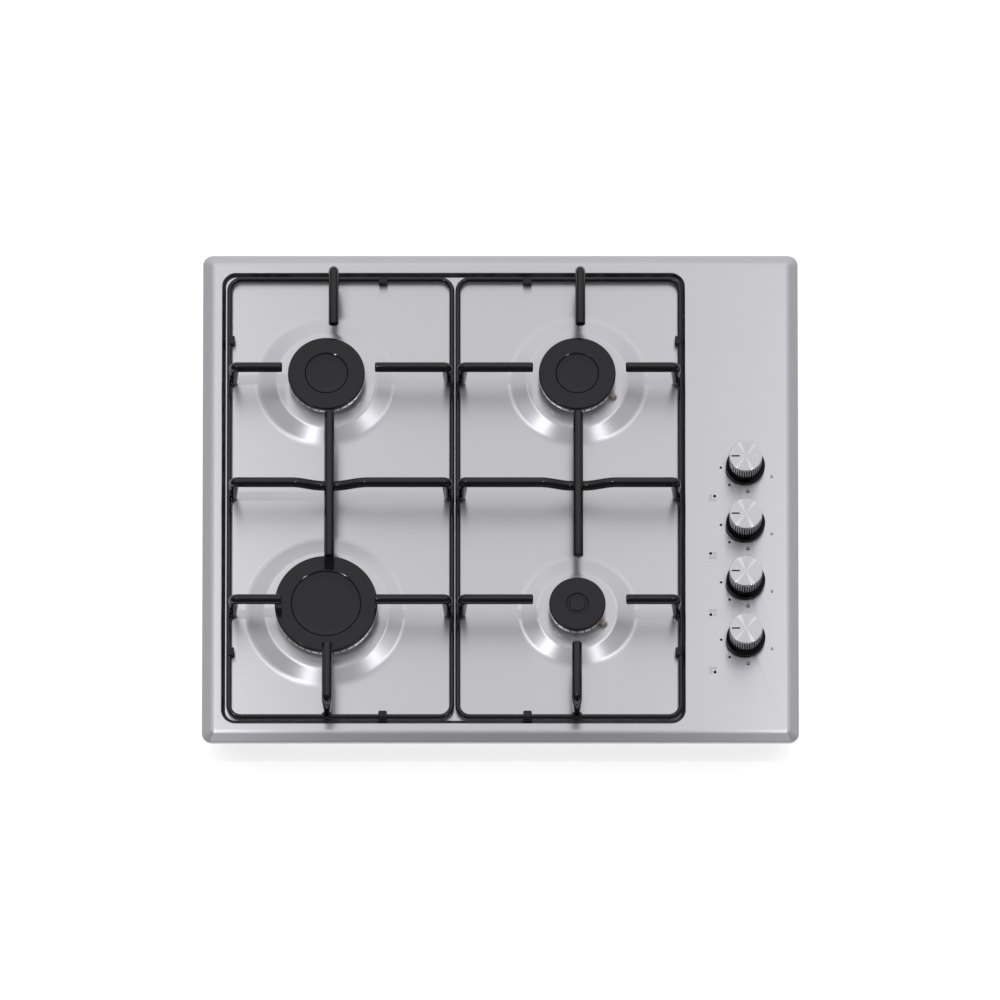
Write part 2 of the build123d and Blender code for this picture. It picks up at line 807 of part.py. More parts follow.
with BuildPart() as clamp_screws:
    for side, y in clamp_spots:
        face = side * (casing_x + clamp_sheet)
        with Locations(Location((face + side * screw_head_height / 2, y, clamp_hole_z), (0, 90, 0))):
            Cylinder(screw_head / 2, screw_head_height)
        with Locations(Location((face - side * clamp_screw_length / 2, y, clamp_hole_z), (0, 90, 0))):
            Cylinder(screw_diameter / 2, clamp_screw_length)
save(clamp_screws.part, "clamp_screws")

# ---- gas rail with its closed front end, and the brackets that hang it from the plate ----
last_knob_y = knob_y(len(burners) - 1)
rail_y0 = last_knob_y - rail_front
rail_y1 = notch_y + rail_past_notch
rail_wall = (rail_width - rail_bore) / 2
with BuildPart() as gas_rail:
    with BuildSketch(Plane.XZ.offset(-rail_y0)):
        with Locations((rail_middle, gas_level)):
            Rectangle(rail_width, rail_height)
    extrude(amount=-(rail_y1 - rail_y0))
    fillet(gas_rail.edges().filter_by(Axis.Y), rail_wall)
    with BuildSketch(Plane.XZ.offset(-rail_y0 - rail_wall)):
        with Locations((rail_middle, gas_level)):
            Circle(rail_bore / 2)
    extrude(amount=-(rail_y1 - rail_y0), mode=Mode.SUBTRACT)
    for number in range(len(burners)):
        with BuildSketch(Plane.YZ.offset(rail_x)):
            with Locations((knob_y(number), gas_level)):
                Circle(gas_bore / 2)
        extrude(amount=rail_width / 2, mode=Mode.SUBTRACT)
save(gas_rail.part, "gas_rail")

rail_top_z = gas_level + rail_height / 2
with BuildPart() as rail_brackets:
    for y in (first_knob_y - knob_pitch / 2, first_knob_y - 2.5 * knob_pitch):
        with BuildSketch(Plane.XZ.offset(-y - bracket_width / 2)):
            with BuildLine():
                Polyline(
                    (rail_x + rail_wall, rail_top_z),
                    (rail_x + rail_width, rail_top_z),
                    (rail_x + rail_width, rim_under_z),
                    (rail_x + rail_wall, rim_under_z),
                    (rail_x + rail_wall, rim_under_z - bracket_sheet),
                    (rail_x + rail_width - bracket_sheet, rim_under_z - bracket_sheet),
                    (rail_x + rail_width - bracket_sheet, rail_top_z + bracket_sheet),
                    (rail_x + rail_wall, rail_top_z + bracket_sheet),
                    close=True,
                )
            make_face()
        extrude(amount=bracket_width)
save(rail_brackets.part, "rail_brackets")

# ---- gas inlet elbow outside the tray, thread pointing down ----
elbow_y = rail_y1 + elbow_reach
thread_end_z = -casing_depth + touch_gap
thread_top_z = thread_end_z + inlet_thread_length
with BuildPart() as inlet_elbow:
    with BuildSketch(Plane.XY.offset(thread_end_z)):
        with Locations((rail_middle, elbow_y)):
            Circle(inlet_thread_diameter / 2)
    extrude(amount=inlet_thread_length)
    chamfer(inlet_elbow.edges().group_by(Axis.Z)[0], inlet_thread_chamfer)
    with BuildSketch(Plane.XY.offset(thread_top_z)):
        with Locations((rail_middle, elbow_y)):
            RegularPolygon(elbow_diameter / 2, 6, major_radius=False)
    extrude(amount=elbow_hex_height)
    with BuildSketch(Plane.XY.offset(thread_top_z)):
        with Locations((rail_middle, elbow_y)):
            Circle(inlet_thread_diameter / 2)
    extrude(amount=gas_level + elbow_top - thread_top_z)
    fillet(inlet_elbow.faces().sort_by(Axis.Z)[-1].edges(), elbow_round)
    with BuildSketch(Plane.XZ.offset(-rail_y1)):
        with Locations((rail_middle, gas_level)):
            Circle(rail_height / 2)
    extrude(amount=-elbow_reach)
    with BuildSketch(Plane.XZ.offset(-rail_y1)):
        with Locations((rail_middle, gas_level)):
            Circle(rail_bore / 2)
    extrude(amount=-elbow_reach, mode=Mode.SUBTRACT)
    with BuildSketch(Plane.XY.offset(thread_end_z)):
        with Locations((rail_middle, elbow_y)):
            Circle(inlet_bore / 2)
    extrude(amount=gas_level - thread_end_z, mode=Mode.SUBTRACT)
save(inlet_elbow.part, "inlet_elbow")

# ---- taps, each with a tapered plug, a sliding spindle, a knob and its skirt ----
bonnet_z = tap_top - tap_bonnet
collar_z = bonnet_z - touch_gap
tang_z = collar_z - collar_height
plug_z = tang_z - spindle_travel - slip_gap
plug_end_z = plug_z - plug_height
tang_end_z = plug_z - tang_engaged
slot_depth = tang_engaged + spindle_travel + slip_gap
spindle_end_z = knob_z + knob_bore_depth - slip_gap
plug_top, plug_end = plug_top_diameter / 2, plug_end_diameter / 2


def shaft_profile(radius, flat):
    """A round shaft's section with one flat on its +X side."""
    with BuildSketch() as profile:
        Circle(radius)
        with Locations((radius - flat + radius, 0)):
            Rectangle(2 * radius, 4 * radius, mode=Mode.SUBTRACT)
    return profile.sketch


def gas_tap():
    """Tap body on its own axis: tapered bore, bonnet, outlet to the left, block to the rail."""
    with BuildPart() as tap:
        with BuildSketch(Plane.XY.offset(tap_top - tap_height)):
            Circle(tap_diameter / 2)
        extrude(amount=tap_height)
        with BuildSketch(Plane.YZ.offset(-outlet_reach)):
            with Locations((0, gas_level)):
                Circle(outlet_diameter / 2)
        extrude(amount=outlet_reach)
        with BuildSketch(Plane.YZ):
            with Locations((0, gas_level)):
                Rectangle(rail_height, rail_height)
        extrude(amount=rail_offset)
        with BuildSketch(Plane.XZ):
            with BuildLine():
                Polyline(
                    (0, plug_end_z - slip_gap),
                    (plug_end + running_gap, plug_end_z - slip_gap),
                    (plug_end + running_gap, plug_end_z),
                    (plug_top + running_gap, plug_z),
                    (plug_top + running_gap, bonnet_z),
                    (spindle_diameter / 2 + running_gap, bonnet_z),
                    (spindle_diameter / 2 + running_gap, tap_top),
                    (0, tap_top),
                    close=True,
                )
            make_face()
        revolve(axis=Axis.Z, mode=Mode.SUBTRACT)
        with BuildSketch(Plane.YZ.offset(-outlet_reach)):
            with Locations((0, gas_level)):
                Circle(gas_bore / 2)
        extrude(amount=outlet_reach + rail_offset, mode=Mode.SUBTRACT)
    return tap.part


def tap_plug():
    """Tapered plug with the tang's slot and a cross bore that is shut at rest."""
    with BuildPart() as plug:
        with BuildSketch(Plane.XZ):
            with BuildLine():
                outline = [(0, plug_end_z), (plug_end, plug_end_z), (plug_top, plug_z), (0, plug_z)]
                Polyline(*outline, close=True)
            make_face()
        revolve(axis=Axis.Z)
        with BuildSketch(Plane.XY.offset(plug_z - slot_depth)):
            Rectangle(tang_width + 2 * touch_gap, tang_thickness + 2 * touch_gap)
        extrude(amount=slot_depth, mode=Mode.SUBTRACT)
        with BuildSketch(Plane.XZ.offset(-plug_top)):
            with Locations((0, gas_level)):
                Circle(plug_bore / 2)
        extrude(amount=2 * plug_top, mode=Mode.SUBTRACT)
    return plug.part


def tap_spindle():
    """Shaft from the tang in the plug up into the knob, with a collar under the bonnet."""
    section = shaft_profile(spindle_diameter / 2, spindle_flat)
    with BuildPart() as spindle:
        with BuildSketch(Plane.XY.offset(tang_z)):
            Circle(collar_diameter / 2)
        extrude(amount=collar_height)
        with BuildSketch(Plane.XY.offset(collar_z)):
            Circle(spindle_diameter / 2)
        extrude(amount=skirt_z - collar_z)
        with BuildSketch(Plane.XY.offset(skirt_z)):
            add(section)
        extrude(amount=spindle_end_z - skirt_z)
        with BuildSketch(Plane.XY.offset(tang_end_z)):
            Rectangle(tang_width, tang_thickness)
        extrude(amount=tang_z - tang_end_z)
    return spindle.part


def knob_skirt():
    """Black base ring: hollow underneath, coned up to the knob's body."""
    outer, body = skirt_diameter / 2, knob_diameter / 2
    hole = spindle_diameter / 2 + touch_gap
    outline = [(hole, skirt_z + skirt_hollow), (outer - skirt_lip, skirt_z + skirt_hollow)]
    outline += [(outer - skirt_lip, skirt_z), (outer, skirt_z), (outer, skirt_z + skirt_edge)]
    outline += [(body + skirt_lip / 2, knob_z), (hole, knob_z)]
    with BuildPart() as skirt:
        with BuildSketch(Plane.XZ):
            with BuildLine():
                Polyline(*outline, close=True)
            make_face()
        revolve(axis=Axis.Z)
    return skirt.part


def knob():
    """Fluted cap of the knob with a flat-sided bore in its hub and a sunk pointer line."""
    body = knob_diameter / 2
    bore = shaft_profile(spindle_diameter / 2 + running_gap, spindle_flat)
    with BuildPart() as cap:
        with BuildSketch(Plane.XY.offset(knob_z)):
            Circle(body)
        extrude(amount=knob_height)
        chamfer(cap.faces().sort_by(Axis.Z)[-1].edges(), knob_edge)
        with BuildSketch(Plane.XY.offset(knob_z)):
            Circle(body - knob_wall)
            Circle(knob_hub / 2, mode=Mode.SUBTRACT)
        extrude(amount=knob_height - knob_wall, mode=Mode.SUBTRACT)
        with BuildSketch(Plane.XY.offset(knob_z)):
            add(bore)
        extrude(amount=knob_bore_depth, mode=Mode.SUBTRACT)
        with BuildSketch(Plane.XY.offset(knob_z)):
            with PolarLocations(body, flute_count, start_angle=90):
                Rectangle(2 * flute_depth, flute_width)
        extrude(amount=knob_height - 2 * knob_edge, mode=Mode.SUBTRACT)
        with BuildSketch(Plane.XY.offset(knob_top_z)):
            with Locations((-pointer_reach, 0)):
                Rectangle(pointer_length, pointer_width)
        extrude(amount=-pointer_depth, mode=Mode.SUBTRACT)
    return cap.part


tap_set = {
    "gas_tap": gas_tap(),
    "tap_plug": tap_plug(),
    "tap_spindle": tap_spindle(),
    "knob_skirt": knob_skirt(),
    "knob": knob(),
}
for burner in burners:
    at_tap = Location((knob_x, knob_y(burner.knob), 0))
    for piece, shape in tap_set.items():
        name = f"{piece}_{burner.name}"
        save(shape.moved(at_tap), name)

with BuildPart() as spindle_seals:
    with BuildSketch(Plane.XY.offset(rim_height)):
        with Locations(*knob_spots):
            Circle(seal_diameter / 2)
            Circle(spindle_diameter / 2 + slip_gap, mode=Mode.SUBTRACT)
    extrude(amount=seal_height)
    fillet(spindle_seals.faces().group_by(Axis.Z)[-1].edges().sort_by(Edge.length)[-4:], seal_height / 4)
save(spindle_seals.part, "spindle_seals")

# ---- feed pipes: bent aluminium tube from each tap to its cup ----
def feed_pipe(burner):
    """Route: out of the tap, along its lane, across to the burner and into the cup's port."""
    start_x, start_y = knob_x - outlet_reach, knob_y(burner.knob)
    end_x = burner.x + burner.cup / 2 + port_reach
    lane_y = start_y + burner.lane_shift
    route = [(start_x, start_y), (start_x - pipe_run_in, start_y)]
    if burner.lane_shift:
        route += [(start_x - 2 * pipe_run_in, lane_y)]
    if burner.lane_end:
        route += [(burner.x + burner.lane_end, lane_y)]
    route += [(end_x + pipe_run_in, burner.y), (end_x, burner.y)]
    if burner.lane_end and not burner.lane_shift:
        route.pop(1)
    with BuildPart() as pipe:
        with BuildLine(Plane.XY.offset(gas_level)):
            FilletPolyline(*route, radius=pipe_bend)
        with BuildSketch(Plane(origin=(start_x, start_y, gas_level), z_dir=(-1, 0, 0))):
            Circle(pipe_diameter / 2)
            Circle(pipe_bore / 2, mode=Mode.SUBTRACT)
        sweep()
    return pipe.part


for burner in burners:
    save(feed_pipe(burner), f"feed_pipe_{burner.name}")

# ---- spark generator, terminal block, cord gland and tap switches ----
generator_y = casing_y - casing_sheet - generator_gap - generator_width / 2
with BuildPart() as spark_generator:
    with BuildSketch(Plane.XY.offset(casing_floor_z)):
        with Locations((generator_x, generator_y)):
            RectangleRounded(generator_length, generator_width, skirt_lip)
    extrude(amount=generator_height)
    with BuildSketch(Plane.XY.offset(casing_floor_z + generator_height)):
        with Locations((generator_x, generator_y)):
            with GridLocations(generator_length / 5, 1, len(burners), 1):
                Circle(tower_diameter / 2)
    extrude(amount=tower_height)
save(spark_generator.part, "spark_generator")

terminal_y = casing_y - casing_sheet - terminal_gap
with BuildPart() as terminal_block:
    with BuildSketch(Plane.XY.offset(casing_floor_z)):
        with Locations((terminal_x, terminal_y)):
            Rectangle(terminal_length, terminal_width)
    extrude(amount=terminal_height)
    with BuildSketch(Plane.XY.offset(casing_floor_z + terminal_height)):
        with Locations((terminal_x, terminal_y)):
            with GridLocations(terminal_length / 3, terminal_width / 2, 3, 2):
                Circle(screw_diameter / 2)
    extrude(amount=-terminal_height / 3, mode=Mode.SUBTRACT)
save(terminal_block.part, "terminal_block")

with BuildPart() as cord_gland:
    half, neck = gland_length / 2, casing_sheet / 2 + running_gap
    with BuildSketch(Plane.XY):
        with BuildLine():
            Polyline(
                (gland_bore / 2, -half),
                (gland_outer / 2, -half),
                (gland_outer / 2, -neck),
                (gland_groove / 2, -neck),
                (gland_groove / 2, neck),
                (gland_outer / 2, neck),
                (gland_outer / 2, half),
                (gland_bore / 2, half),
                close=True,
            )
        make_face()
    revolve(axis=Axis.Y)
gland_y = casing_y - casing_sheet / 2
save(cord_gland.part.moved(Location((terminal_x, gland_y, gland_level))), "cord_gland")

with BuildPart() as ignition_switches:
    side_x = knob_x - tap_diameter / 2 - touch_gap
    with BuildSketch(Plane.XY.offset(tap_top - switch_height)):
        for x, y in knob_spots:
            with Locations((side_x - switch_width / 2, y)):
                Rectangle(switch_width, switch_length)
    extrude(amount=switch_height)
    with BuildSketch(Plane.XY.offset(tap_top - switch_strip)):
        with Locations((side_x - switch_width + switch_strip / 2, (first_knob_y + last_knob_y) / 2)):
            Rectangle(switch_strip, first_knob_y - last_knob_y)
    extrude(amount=switch_strip)
save(ignition_switches.part, "ignition_switches")
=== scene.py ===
"""Looks and fine shapes of a built-in gas hob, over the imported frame. Metres."""

import json
import math

import bmesh
import bpy
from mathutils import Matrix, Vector
from mathutils.geometry import tessellate_polygon


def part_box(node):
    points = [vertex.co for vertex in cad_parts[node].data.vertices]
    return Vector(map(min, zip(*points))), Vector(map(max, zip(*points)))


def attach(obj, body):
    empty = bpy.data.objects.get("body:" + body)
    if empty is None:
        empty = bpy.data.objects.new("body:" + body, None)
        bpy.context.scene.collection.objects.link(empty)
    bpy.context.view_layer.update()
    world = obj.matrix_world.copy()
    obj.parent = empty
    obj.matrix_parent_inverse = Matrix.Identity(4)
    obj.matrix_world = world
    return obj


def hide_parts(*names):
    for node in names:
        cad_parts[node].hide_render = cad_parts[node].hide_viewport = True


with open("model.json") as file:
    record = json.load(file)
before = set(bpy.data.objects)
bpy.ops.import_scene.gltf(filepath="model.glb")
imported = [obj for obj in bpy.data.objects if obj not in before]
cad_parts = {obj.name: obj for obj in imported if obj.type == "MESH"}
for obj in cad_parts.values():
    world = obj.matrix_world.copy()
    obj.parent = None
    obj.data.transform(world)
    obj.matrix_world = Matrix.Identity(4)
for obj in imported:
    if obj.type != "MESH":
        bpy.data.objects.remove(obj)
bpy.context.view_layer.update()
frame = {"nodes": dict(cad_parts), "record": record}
MM = 0.001
BURNERS = ("rear_left", "rear_right", "front_left", "front_right")

# ---- tolerances of the mesh helpers ----
MERGE_DISTANCE = 1e-6
STRAIGHT_TURN = 1e-4
AXIS_RADIUS = 1e-7
LONGEST_RUN = 0.49

# ---- sizes of the plate that the frame's boxes don't give ----
SHEET = 0.8 * MM
HEM = 3.0 * MM
HEM_ROUND = 1.5 * MM
BEVEL = 10.3 * MM
OUTER_CORNER = 10.0 * MM
CREASE_CORNER = 2.5 * MM
CREASE_ROUND = 13.0 * MM
CREASE_REACH = 6.0 * MM
RIM_LEVEL = 7.0 * MM
RECESS_DEPTH = 3.0 * MM
RECESS_WALL = 3.6 * MM
RECESS_CORNER = 14.0 * MM
RECESS_ROUND = 1.3 * MM
RECESS_REACH = 2.0 * MM
BROW = 0.12 * MM
RECESS_MARGINS = {"left": 18.6 * MM, "right": 110.0 * MM, "front": 18.5 * MM, "rear": 19.7 * MM}
DISC_RISE = 4.5 * MM
DISC_FOOT_ROUND = 28.0 * MM
DISC_FOOT_REACH = 8.0 * MM
DISC_TOP_ROUND = 14.0 * MM
DISC_TOP_REACH = 5.0 * MM
DISC_RADII = {
    "rear_left": (66.6 * MM, 48.9 * MM),
    "rear_right": (66.6 * MM, 48.9 * MM),
    "front_left": (77.3 * MM, 60.3 * MM),
    "front_right": (56.7 * MM, 38.9 * MM),
}
CUP_RADII = {
    "rear_left": 17.0 * MM,
    "rear_right": 17.0 * MM,
    "front_left": 24.0 * MM,
    "front_right": 11.0 * MM,
}
ELECTRODE_ANGLES = {"rear_left": 118, "rear_right": -27, "front_left": 118, "front_right": -30}
ELECTRODE = {
    "offset": 1.0 * MM,
    "radius": 2.8 * MM,
    "shoulder": 4.6 * MM,
    "shoulder_height": 4.0 * MM,
    "tip": 0.8 * MM,
    "tip_height": 3.0 * MM,
    "tip_sink": 1.0 * MM,
}
SENSOR_ANGLE = 62
SENSOR_OFFSET = 0.2 * MM
SENSOR_HOLE = 2.6 * MM
KNOB_HOLE = 4.4 * MM
SLIP_GAP = 0.4 * MM
SHADING_CROWN_RADIUS = 3.8

# ---- sizes of the pan supports ----
WIRE = 5.0 * MM
BAR = 9.8 * MM
LEG_END = 5.8 * MM
LEG_INSET = 4.6 * MM
FINGER_BEND = 5.4 * MM
TAPER_DROP = 1.5 * FINGER_BEND
LOOP_CORNER = 12.0 * MM
LOOP_LEVEL = 8.8 * MM
TIP_ROUND = 1.6 * MM
TIP_GAPS = {"left": 43.0 * MM, "right": 47.2 * MM, "rear": 43.5 * MM, "front": 47.5 * MM}
BAR_GAPS = {"rear": 47.5 * MM, "front": 42.0 * MM}
ROW_SHIFTS = {"rear": -1.0 * MM, "front": -2.8 * MM}
BAR_SHIFTS = {
    "left": {"rear": 7.0 * MM, "middle": 3.0 * MM, "front": 1.0 * MM},
    "right": {"rear": 3.0 * MM, "middle": 0.8 * MM, "front": -0.5 * MM},
}
JOGGLE_HALF = 32.0 * MM
JOGGLE_RUN = 21.0 * MM
JOGGLE_BEND = 30.0 * MM
WELD_SINK = 0.4 * MM
WELD_OUTLINE = [(0, -1.9 * MM), (3.7 * MM, -1.9 * MM), (3.4 * MM, 1.5 * MM), (0, 1.9 * MM)]
WELD_ROUNDS = [0, 1.8 * MM, 1.4 * MM, 0]
WELD_STRETCH = 0.45
WIRE_SIDES = 18
BEND_STEPS = 8

# ---- camera: at the photograph's elevation, but far off, so that the view is nearly parallel ----
CAMERA_DISTANCE = 40.0
CAMERA_ELEVATION = math.radians(68.3)
METRES_PER_PIXEL = 0.9731 * MM
PHOTO_PIXELS = 1000
SENSOR = 36.0
AIM = Vector((-0.4, -0.3, 0)) * MM


def make_camera():
    data = bpy.data.cameras.new("camera")
    data.sensor_width = SENSOR
    data.lens = SENSOR * CAMERA_DISTANCE / (METRES_PER_PIXEL * PHOTO_PIXELS)
    data.clip_start, data.clip_end = 1.0, 2 * CAMERA_DISTANCE
    camera = bpy.data.objects.new("camera", data)
    bpy.context.scene.collection.objects.link(camera)
    away = Vector((0, -math.cos(CAMERA_ELEVATION), math.sin(CAMERA_ELEVATION)))
    camera.location = AIM + CAMERA_DISTANCE * away
    camera.rotation_euler = (math.pi / 2 - CAMERA_ELEVATION, 0, 0)
    bpy.context.scene.camera = camera


# ---- mesh helpers ----
def rounded(points, radii, steps=6, closed=False):
    """A path through the points with each corner replaced by an arc."""
    points = [Vector(p) for p in points]
    if not hasattr(radii, "__len__"):
        radii = [radii] * len(points)
    path = []
    for i, corner in enumerate(points):
        at_end = not closed and i in (0, len(points) - 1)
        if at_end or radii[i] <= 0:
            path.append(corner)
            continue
        back, on = points[i - 1] - corner, points[(i + 1) % len(points)] - corner
        turn = math.pi - back.angle(on)
        if turn < STRAIGHT_TURN:
            path.append(corner)
            continue
        longest = LONGEST_RUN * back.length, LONGEST_RUN * on.length
        run = min(radii[i] * math.tan(turn / 2), *longest)
        radius = run / math.tan(turn / 2)
        back.normalize()
        on.normalize()
        centre = corner + (back + on).normalized() * radius / math.cos(turn / 2)
        first, last = corner + back * run - centre, corner + on * run - centre
        for step in range(steps + 1):
            t = step / steps
            near, far = math.sin((1 - t) * turn), math.sin(t * turn)
            path.append(centre + (first * near + last * far) / math.sin(turn))
    return path


def rounded_rectangle(x0, y0, x1, y1, radius, z=0.0, steps=10):
    """A level rectangle with rounded corners, as a closed row of points."""
    corners = [(x0, y0, z), (x1, y0, z), (x1, y1, z), (x0, y1, z)]
    return rounded(corners, radius, steps, closed=True)


def circle(centre, radius, z=0.0, count=96):
    """A level circle, as a closed row of points."""
    x, y = centre[0], centre[1]
    turns = [2 * math.pi * i / count for i in range(count)]
    return [Vector((x + radius * math.cos(a), y + radius * math.sin(a), z)) for a in turns]


def bridge(bm, lower, upper, material=0):
    """Faces between two rings of equal length, or between a ring and a single point."""
    count = max(len(lower), len(upper))
    for i in range(count):
        j = (i + 1) % count
        if len(lower) == 1:
            corners = (lower[0], upper[j], upper[i])
        elif len(upper) == 1:
            corners = (lower[i], lower[j], upper[0])
        else:
            corners = (lower[i], lower[j], upper[j], upper[i])
        bm.faces.new(corners).material_index = material


def loft(bm, rings, material=0):
    """Bridges a row of point rings and returns their vertices."""
    made = [[bm.verts.new(p) for p in ring] for ring in rings]
    for lower, upper in zip(made, made[1:]):
        bridge(bm, lower, upper, material)
    return made


def flat_fill(bm, outline, holes=(), material=0):
    """Triangles inside an outline and outside its holes. All of them are vertex rings."""
    rings = [list(outline)] + [list(hole) for hole in holes]
    verts = [v for ring in rings for v in ring]
    for corners in tessellate_polygon([[v.co for v in ring] for ring in rings]):
        bm.faces.new([verts[i] for i in corners]).material_index = material


def vertex_ring(bm, points):
    return [bm.verts.new(p) for p in points]


def lathe(bm, profile, centre=(0.0, 0.0), count=96, material=0):
    """Turns (radius, z) points round an upright axis. A radius of 0 closes that end."""
    rings = []
    for radius, z in profile:
        if radius < AXIS_RADIUS:
            rings.append([Vector((centre[0], centre[1], z))])
        else:
            rings.append(circle(centre, radius, z, count))
    return loft(bm, rings, material)


def turned_profile(points, radii, steps=5):
    """Rounds the corners of a (radius, z) outline."""
    return [(p.x, p.z) for p in rounded([(r, 0, z) for r, z in points], radii, steps)]


def tube(bm, sections, count=28, closed=False, material=0):
    """A round bar through (point, radius) sections."""
    points = [p for p, _ in sections]
    last = len(points) - 1
    rings, normal = [], None
    for i, (point, radius) in enumerate(sections):
        before = points[i - 1] if i or closed else points[i]
        after = points[(i + 1) % len(points)] if i < last or closed else points[i]
        along = (after - before).normalized()
        if normal is None:
            normal = along.orthogonal().normalized()
        normal = (normal - along * normal.dot(along)).normalized()
        side = along.cross(normal)
        turns = [2 * math.pi * k / count for k in range(count)]
        rings.append([point + radius * (normal * math.cos(a) + side * math.sin(a)) for a in turns])
    made = loft(bm, rings, material)
    if closed:
        bridge(bm, made[-1], made[0], material)
    else:
        bm.faces.new(list(reversed(made[0]))).material_index = material
        bm.faces.new(made[-1]).material_index = material


def with_tip(sections, amount, steps=4):
    """Rounds the edge of the last section's end."""
    (before, _), (end, radius) = sections[-2:]
    along = (end - before).normalized()
    tail = []
    for step in range(steps + 1):
        turn = math.pi / 2 * step / steps
        point = end - along * amount * (1 - math.sin(turn))
        tail.append((point, radius - amount * (1 - math.cos(turn))))
    return sections[:-1] + tail


def finished(bm, name, body, materials, replaces=(), sharp=40.0):
    """Turns a bmesh into a smooth piece that rides on a body."""
    bmesh.ops.remove_doubles(bm, verts=bm.verts, dist=MERGE_DISTANCE)
    bmesh.ops.recalc_face_normals(bm, faces=bm.faces)
    mesh = bpy.data.meshes.new(name)
    bm.to_mesh(mesh)
    bm.free()
    for face in mesh.polygons:
        face.use_smooth = True
    mesh.set_sharp_from_angle(angle=math.radians(sharp))
    piece = bpy.data.objects.new(name, mesh)
    bpy.context.scene.collection.objects.link(piece)
    for material in materials:
        mesh.materials.append(material)
    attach(piece, body)
    if replaces:
        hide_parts(*replaces)
    return piece


def keep_flats_flat(piece):
    """Flat faces keep their own normal, so that only rounded edges are shaded smooth."""
    weighted = piece.modifiers.new("even_flats", "WEIGHTED_NORMAL")
    weighted.keep_sharp = True
    weighted.weight = 100


def centre_of(node_name):
    """The middle of a frame node's box."""
    low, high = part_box(node_name)
    return (low + high) / 2


def around(centre, angle, reach):
    """The point at a distance from a centre, at an angle in degrees from the right."""
    turn = math.radians(angle)
    return centre + reach * Vector((math.cos(turn), math.sin(turn), 0))


def beside_cap(burner, angle, offset):
    """A point just outside a cap's edge."""
    low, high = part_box("burner_cap_" + burner)
    return around((low + high) / 2, angle, (high.x - low.x) / 2 + offset)


# ---- material helpers ----
# Places of the colour sockets on a Mix node, which share their names with other sockets.
MIX_COLOUR_A = 6
MIX_COLOUR_B = 7
MIX_COLOUR_RESULT = 2


def node(material, kind, inputs=None, **settings):
    """A shader node whose inputs are values or other nodes' output sockets."""
    made = material.node_tree.nodes.new(kind)
    for name, value in settings.items():
        setattr(made, name, value)
    for name, value in (inputs or {}).items():
        if isinstance(value, bpy.types.NodeSocket):
            material.node_tree.links.new(value, made.inputs[name])
        else:
            made.inputs[name].default_value = value
    return made


def plain(name, colour, **sockets):
    """A material whose sockets are set to plain values, with its shader."""
    material = bpy.data.materials.new(name)
    material.use_nodes = True
    shader = material.node_tree.nodes["Principled BSDF"]
    shader.inputs["Base Color"].default_value = (*colour, 1)
    for socket, value in sockets.items():
        shader.inputs[socket.replace("_", " ")].default_value = value
    return material, shader


def vector_math(material, operation, *operands, output="Vector"):
    """The result of a vector operation on values or sockets."""
    inputs = dict(enumerate(operands))
    return node(material, "ShaderNodeVectorMath", inputs, operation=operation).outputs[output]


def places(material, scale=(1, 1, 1)):
    """Object coordinates, stretched."""
    spot = node(material, "ShaderNodeTexCoord").outputs["Object"]
    return node(material, "ShaderNodeMapping", {"Vector": spot, "Scale": scale}).outputs["Vector"]


def noise(material, vector, scale, detail=3.0, roughness=0.5):
    inputs = {"Vector": vector, "Scale": scale, "Detail": detail, "Roughness": roughness}
    return node(material, "ShaderNodeTexNoise", inputs).outputs["Fac"]


def spread(material, value, low, high, from_low=0.3, from_high=0.7):
    """Maps a value onto a range. As it stands it suits noise, which mostly keeps near the middle."""
    inputs = {"Value": value, "From Min": from_low, "From Max": from_high}
    inputs |= {"To Min": low, "To Max": high}
    return node(material, "ShaderNodeMapRange", inputs).outputs["Result"]


def tones(material, value, dark, light):
    """A colour between two by a value."""
    mix = node(material, "ShaderNodeMix", {"Factor": value}, data_type="RGBA")
    mix.inputs[MIX_COLOUR_A].default_value = (*dark, 1)
    mix.inputs[MIX_COLOUR_B].default_value = (*light, 1)
    return mix.outputs[MIX_COLOUR_RESULT]


def bump(material, shader, height, distance, strength=1.0, over=None):
    """Relief on the surface, or on a normal that stands in for the surface's own."""
    inputs = {"Height": height, "Distance": distance, "Strength": strength}
    if over is not None:
        inputs["Normal"] = over
    relief = node(material, "ShaderNodeBump", inputs).outputs["Normal"]
    material.node_tree.links.new(relief, shader.inputs["Normal"])


def crowned(material, radius):
    """The normal of a sheet that is slightly crowned from left to right.

    It stands in for the photograph's nearer camera, whose view of a flat sheet turns in the same way.
    """
    spot = node(material, "ShaderNodeTexCoord").outputs["Object"]
    across = vector_math(material, "MULTIPLY", spot, (1 / radius, 0, 0))
    own = node(material, "ShaderNodeNewGeometry").outputs["Normal"]
    return vector_math(material, "NORMALIZE", vector_math(material, "ADD", own, across))


def scaled(colour, factor):
    return tuple(min(1.0, c * factor) for c in colour)


def varied(material, shader, colour, contrast, roughness, value):
    """Lets a value shift both the colour and the roughness a little."""
    links = material.node_tree.links
    tint = tones(material, value, scaled(colour, 1 - contrast), scaled(colour, 1 + contrast))
    links.new(tint, shader.inputs["Base Color"])
    links.new(spread(material, value, *roughness), shader.inputs["Roughness"])


